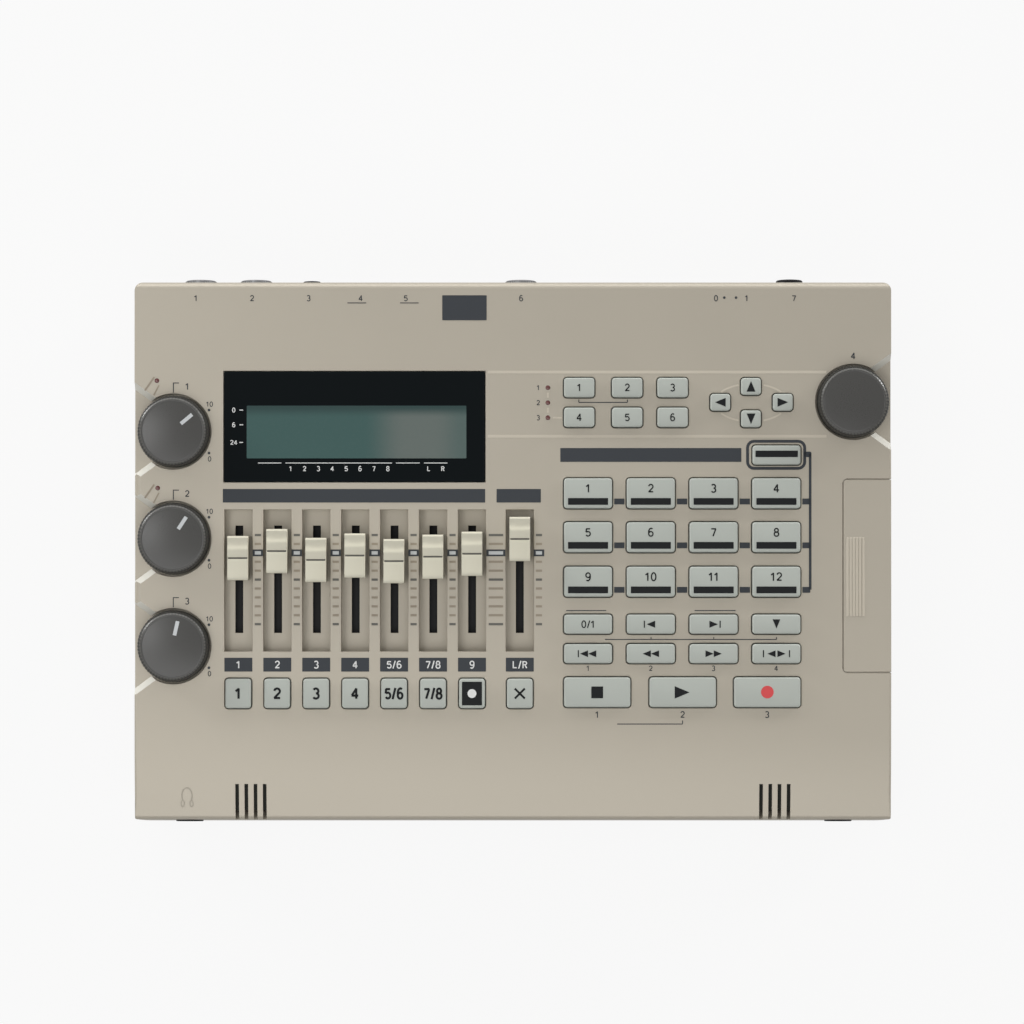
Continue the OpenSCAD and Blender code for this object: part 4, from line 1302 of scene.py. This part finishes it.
# %% Socket trim
JACK_Z = 20.1
FRONT_JACKS, REAR_JACKS = (-110.8, 111.5), (-107.7, -88.6, 2.8)
PHONO_X, LINE_X, USB_X, DC_X, SWITCH_X = (-51.7, -36.4), -69.4, -16.6, 95.5, 71.0
KNURLS = 40
s = Sketch()
knurls, faces = rim_ribs.grow(Count=KNURLS, Radius=5.3, Block=(0.3, 0.4, 2.1), Lean=0.0)
for x in REAR_JACKS:
    place = (x, BACK_Y, JACK_Z)
    s.hoop([(5.2, -0.1), (6.7, -0.1), (6.7, 0.3), (6.5, 0.45), (5.2, 0.45)], place, steel)
    s.hoop([(4.5, 0.4), (5.3, 0.4), (5.3, 2.7), (5.0, 3.0), (4.5, 3.0)], place, nut_metal)
    s.add([(x + a, BACK_Y + 1.6 + c, JACK_Z + b) for a, b, c in knurls], faces, nut_metal)
for x, inner, outer, out in ((DC_X, 2.8, 4.6, 3.2), (LINE_X, 1.8, 3.1, 2.8)):
    s.hoop([(inner, -0.3), (outer, -0.3), (outer, out - 0.3), (outer - 0.3, out), (inner + 0.3, out),
            (inner, out - 0.3)], (x, BACK_Y, JACK_Z), black_plastic)
for x in FRONT_JACKS:
    s.hoop([(3.45, 0.9), (4.7, 0.9), (4.7, -0.3), (4.5, -0.5), (3.65, -0.5), (3.45, -0.3)],
           (x, front_at(JACK_Z, FRONT_STAND), JACK_Z), black_plastic)
for x, finish in zip(PHONO_X, (red_print, pale_print)):
    place = (x, BACK_Y, JACK_Z)
    s.hoop([(1.75, -0.5), (3.25, -0.5), (3.25, -0.05), (1.75, -0.05)], place, finish)
    s.hoop([(3.25, -3.0), (4.2, -3.0), (4.2, 0.25), (4.0, 0.45), (3.25, 0.45)], place, steel)
    s.hoop([(4.2, -2.3), (6.1, -2.3), (6.1, -1.6), (4.2, -1.6)], place, black_plastic)
seat(s.piece("socket_trim", TO_METRES), "case", "black_plastic")
print("nuts", len(REAR_JACKS), "knurls each", KNURLS)

# %% [markdown]
# ### Data socket, switch ribs and rear numbers
# The data socket has a steel shell round a pale tongue. The switch slider has four ribs for the finger,
# which ride on it. The rear print is drawn on a matrix of its own, as seen from behind.

# %% Rear trim
SHELL, SHELL_INSIDE, TONGUE = (8.44, 7.74, 0.5, 4), (7.9, 7.2, 0.4, 4), (5.7, 3.3, 0.3, 3)
SWITCH_RIB = ((-0.25, -1.9), (0.25, -1.9), (0.25, 1.9), (-0.25, 1.9))


def socket_ring(shape, depth):
    """An outline of the data socket, so deep behind the rear face or before it."""
    return [(x, BACK_Y + depth, z) for x, z in rounded(USB_X, JACK_Z, *shape)]


s = Sketch()
s.tube([socket_ring(SHELL, -8.0), socket_ring(SHELL, 0.25), socket_ring(SHELL_INSIDE, 0.25),
        socket_ring(SHELL_INSIDE, -8.0)], steel)
s.loft([socket_ring(TONGUE, depth) for depth in (-10.9, -2.1, -1.9)], pale_print)
seat(s.piece("data_socket_trim", TO_METRES), "case", "steel")
s = Sketch()
for step in (-1.4, -0.47, 0.47, 1.4):
    s.loft([[(SWITCH_X + step + a, BACK_Y + 1.5 + d, JACK_Z + b) for a, b in SWITCH_RIB]
            for d in (0.0, 0.4)], black_plastic)
seat(s.piece("switch_ribs", TO_METRES), "power_switch", "black_plastic")
FROM_BEHIND = Matrix(((-1, 0, 0, 0), (0, 0, 1, 0), (0, 1, 0, 0), (0, 0, 0, 1)))
REAR = TO_METRES @ Matrix.Translation((0, BACK_Y, 0)) @ FROM_BEHIND
s = Sketch()
number_row([(-x, JACK_Z + 9.6) for x in (*REAR_JACKS[:2], LINE_X, *PHONO_X, REAR_JACKS[2], DC_X)], 2.1)
for x, text in ((SWITCH_X - 1.8, "0"), (SWITCH_X + 5.8, "1")):
    s.words(text, -x, JACK_Z + 5.2, 1.8, slate_print)
for x0, x1 in (PHONO_X, REAR_JACKS[:2]):
    s.strip([(-x1 - 3, JACK_Z + 12.4), (-x0 + 3, JACK_Z + 12.4)], 0.35, slate_print)
s.bar(-USB_X - 5, -USB_X + 5, JACK_Z + 8.4, JACK_Z + 10.9, slate_print)
seat(s.piece("rear_print", REAR), "case", "case_paint")
print("rear print points", len(s.points))

# %% [markdown]
# ## Finishes of the pieces that stay CAD
# Boards, sockets, screws and feet have the right shape already, so they only get a finish. Their
# object's material slots are replaced, and the meshes are left alone.

# %% CAD pieces
CAD_FINISHES = (
    (board_mask, "panel_board main_board"),
    (steel, "rotary_pots mic_capsules battery_contacts case_screws"),
    (black_plastic, "slide_pots key_switches jack_sockets rear_connectors card_socket power_switch"),
    (rubber, "rubber_feet"), (display, "lcd_module"), (nut_metal, "jack_nuts"))
for finish, names in CAD_FINISHES:
    for name in names.split():
        for place in nodes[name].material_slots:
            place.material = finish.mat
print("CAD finishes", len(CAD_FINISHES))

# %% [markdown]
# ## Floor and light
# The studio is a pale floor under an even sky. A low strip at the rear and a lamp at each rear corner
# draw the edges, a softbox at the front fills the keys, and a small one at the left gives the knobs their
# sheen. To the camera the sky and floor are white, which Light Path's ray switches do without adding
# light to the object.

# %% Studio


def show_white(home, plain, white, end, eye, gloss):
    """Ends a tree in white by eye for camera and transmission rays, by gloss for reflections, else plain."""
    shares = (("Is Camera Ray", eye), ("Is Transmission Ray", eye), ("Is Glossy Ray", gloss))
    direct, through, mirrored = (home.node("ShaderNodeLightPath", out=ray) * share for ray, share in shares)
    most = direct.maths("MAXIMUM", direct.maths("MAXIMUM", direct, through), mirrored)
    mixed = home.node("ShaderNodeMixShader", {}, {0: most, 1: plain, 2: white})
    home.put(home.tree.nodes[end].inputs["Surface"], mixed)


scene = bpy.context.scene
scene.world = bpy.data.worlds.new("studio_sky")
scene.world.use_nodes = True
air = NodeTree(scene.world.node_tree)
sky = air.tree.nodes["Background"]
sky.inputs["Color"].default_value, sky.inputs["Strength"].default_value = (1.0, 0.99, 0.97, 1), 0.33
white = air.node("ShaderNodeBackground", {}, {"Color": (1, 1, 1, 1), "Strength": 1.0})
show_white(air, Socket(air, sky.outputs[0]), white, "World Output", 1.0, 0.6)

floor_mesh = bpy.data.meshes.new("studio_floor")
floor_mesh.from_pydata([(-3, -3, 0), (3, -3, 0), (3, 3, 0), (-3, 3, 0)], [], [[0, 1, 2, 3]])
floor = settle("studio_floor", floor_mesh, None, weld=False)
ground = Finish("pale_floor", (0.5, 0.5, 0.495), 0.9)
glow = ground.node("ShaderNodeEmission")
show_white(ground, Socket(ground, ground.shader.outputs[0]), glow, "Material Output", 0.9, 0.4)
floor_mesh.materials.append(ground.mat)


def soft_light(name, place, target_x, wide, tall, power):
    """A soft lamp that looks at the middle of the case, or beside it by target_x."""
    lamp = bpy.data.lights.new(name, "AREA")
    lamp.shape, lamp.size, lamp.size_y, lamp.energy = "RECTANGLE", wide, tall, power
    made = bpy.data.objects.new(name, lamp)
    made.location = place
    way = Vector((target_x, 0, 0.03)) - Vector(place)
    made.rotation_euler = way.to_track_quat("-Z", "Y").to_euler()
    scene.collection.objects.link(made)


soft_light("rear_strip", (-0.1, 1.3, 0.40), 0, 2.2, 0.5, 11.0)
soft_light("left_softbox", (-0.43, 0.03, 0.9), 0, 0.25, 0.3, 1.0)
soft_light("front_softbox", (-0.1, -0.5, 0.85), 0, 1.1, 0.6, 3.8)
for side in (-1, 1):
    soft_light("kicker", (1.35 * side, 0.9, 0.27), 0.1 * side, 0.5, 0.4, 15.0)
scene.view_settings.view_transform = "Standard"
print("lights", len(bpy.data.lights))

# %% [markdown]
# ## The camera
# The camera looks almost straight down from a metre and a half, as the photograph does. It leans a few
# degrees to the front, so that a thin strip of the front face shows and the rear nuts nearly hide. The
# lens follows from how many pixels of the picture a millimetre of the panel takes.

# %% Camera
LEAN, REACH = math.radians(3.4), 1.5
SENSOR, PICTURE, PIXELS_PER_MM, LIFT = 36.0, 1024, 2.945, 39.4
lens = bpy.data.cameras.new("camera")
camera = bpy.data.objects.new("camera", lens)
scene.collection.objects.link(camera)
scene.camera = camera
aim = Vector((-0.0003, Y_MID * MM, PANEL_Z * MM))
back = Vector((0, -math.sin(LEAN), math.cos(LEAN)))
upward = Vector((0, math.cos(LEAN), math.sin(LEAN)))
camera.location = aim + back * REACH + upward * (LIFT / PIXELS_PER_MM * MM)
camera.rotation_euler = (LEAN, 0, 0)
lens.sensor_fit, lens.sensor_width = "HORIZONTAL", SENSOR
lens.lens = SENSOR * PIXELS_PER_MM * REACH / MM / PICTURE
lens.clip_start, lens.clip_end = 0.05, 20
print("lens", round(lens.lens, 2))
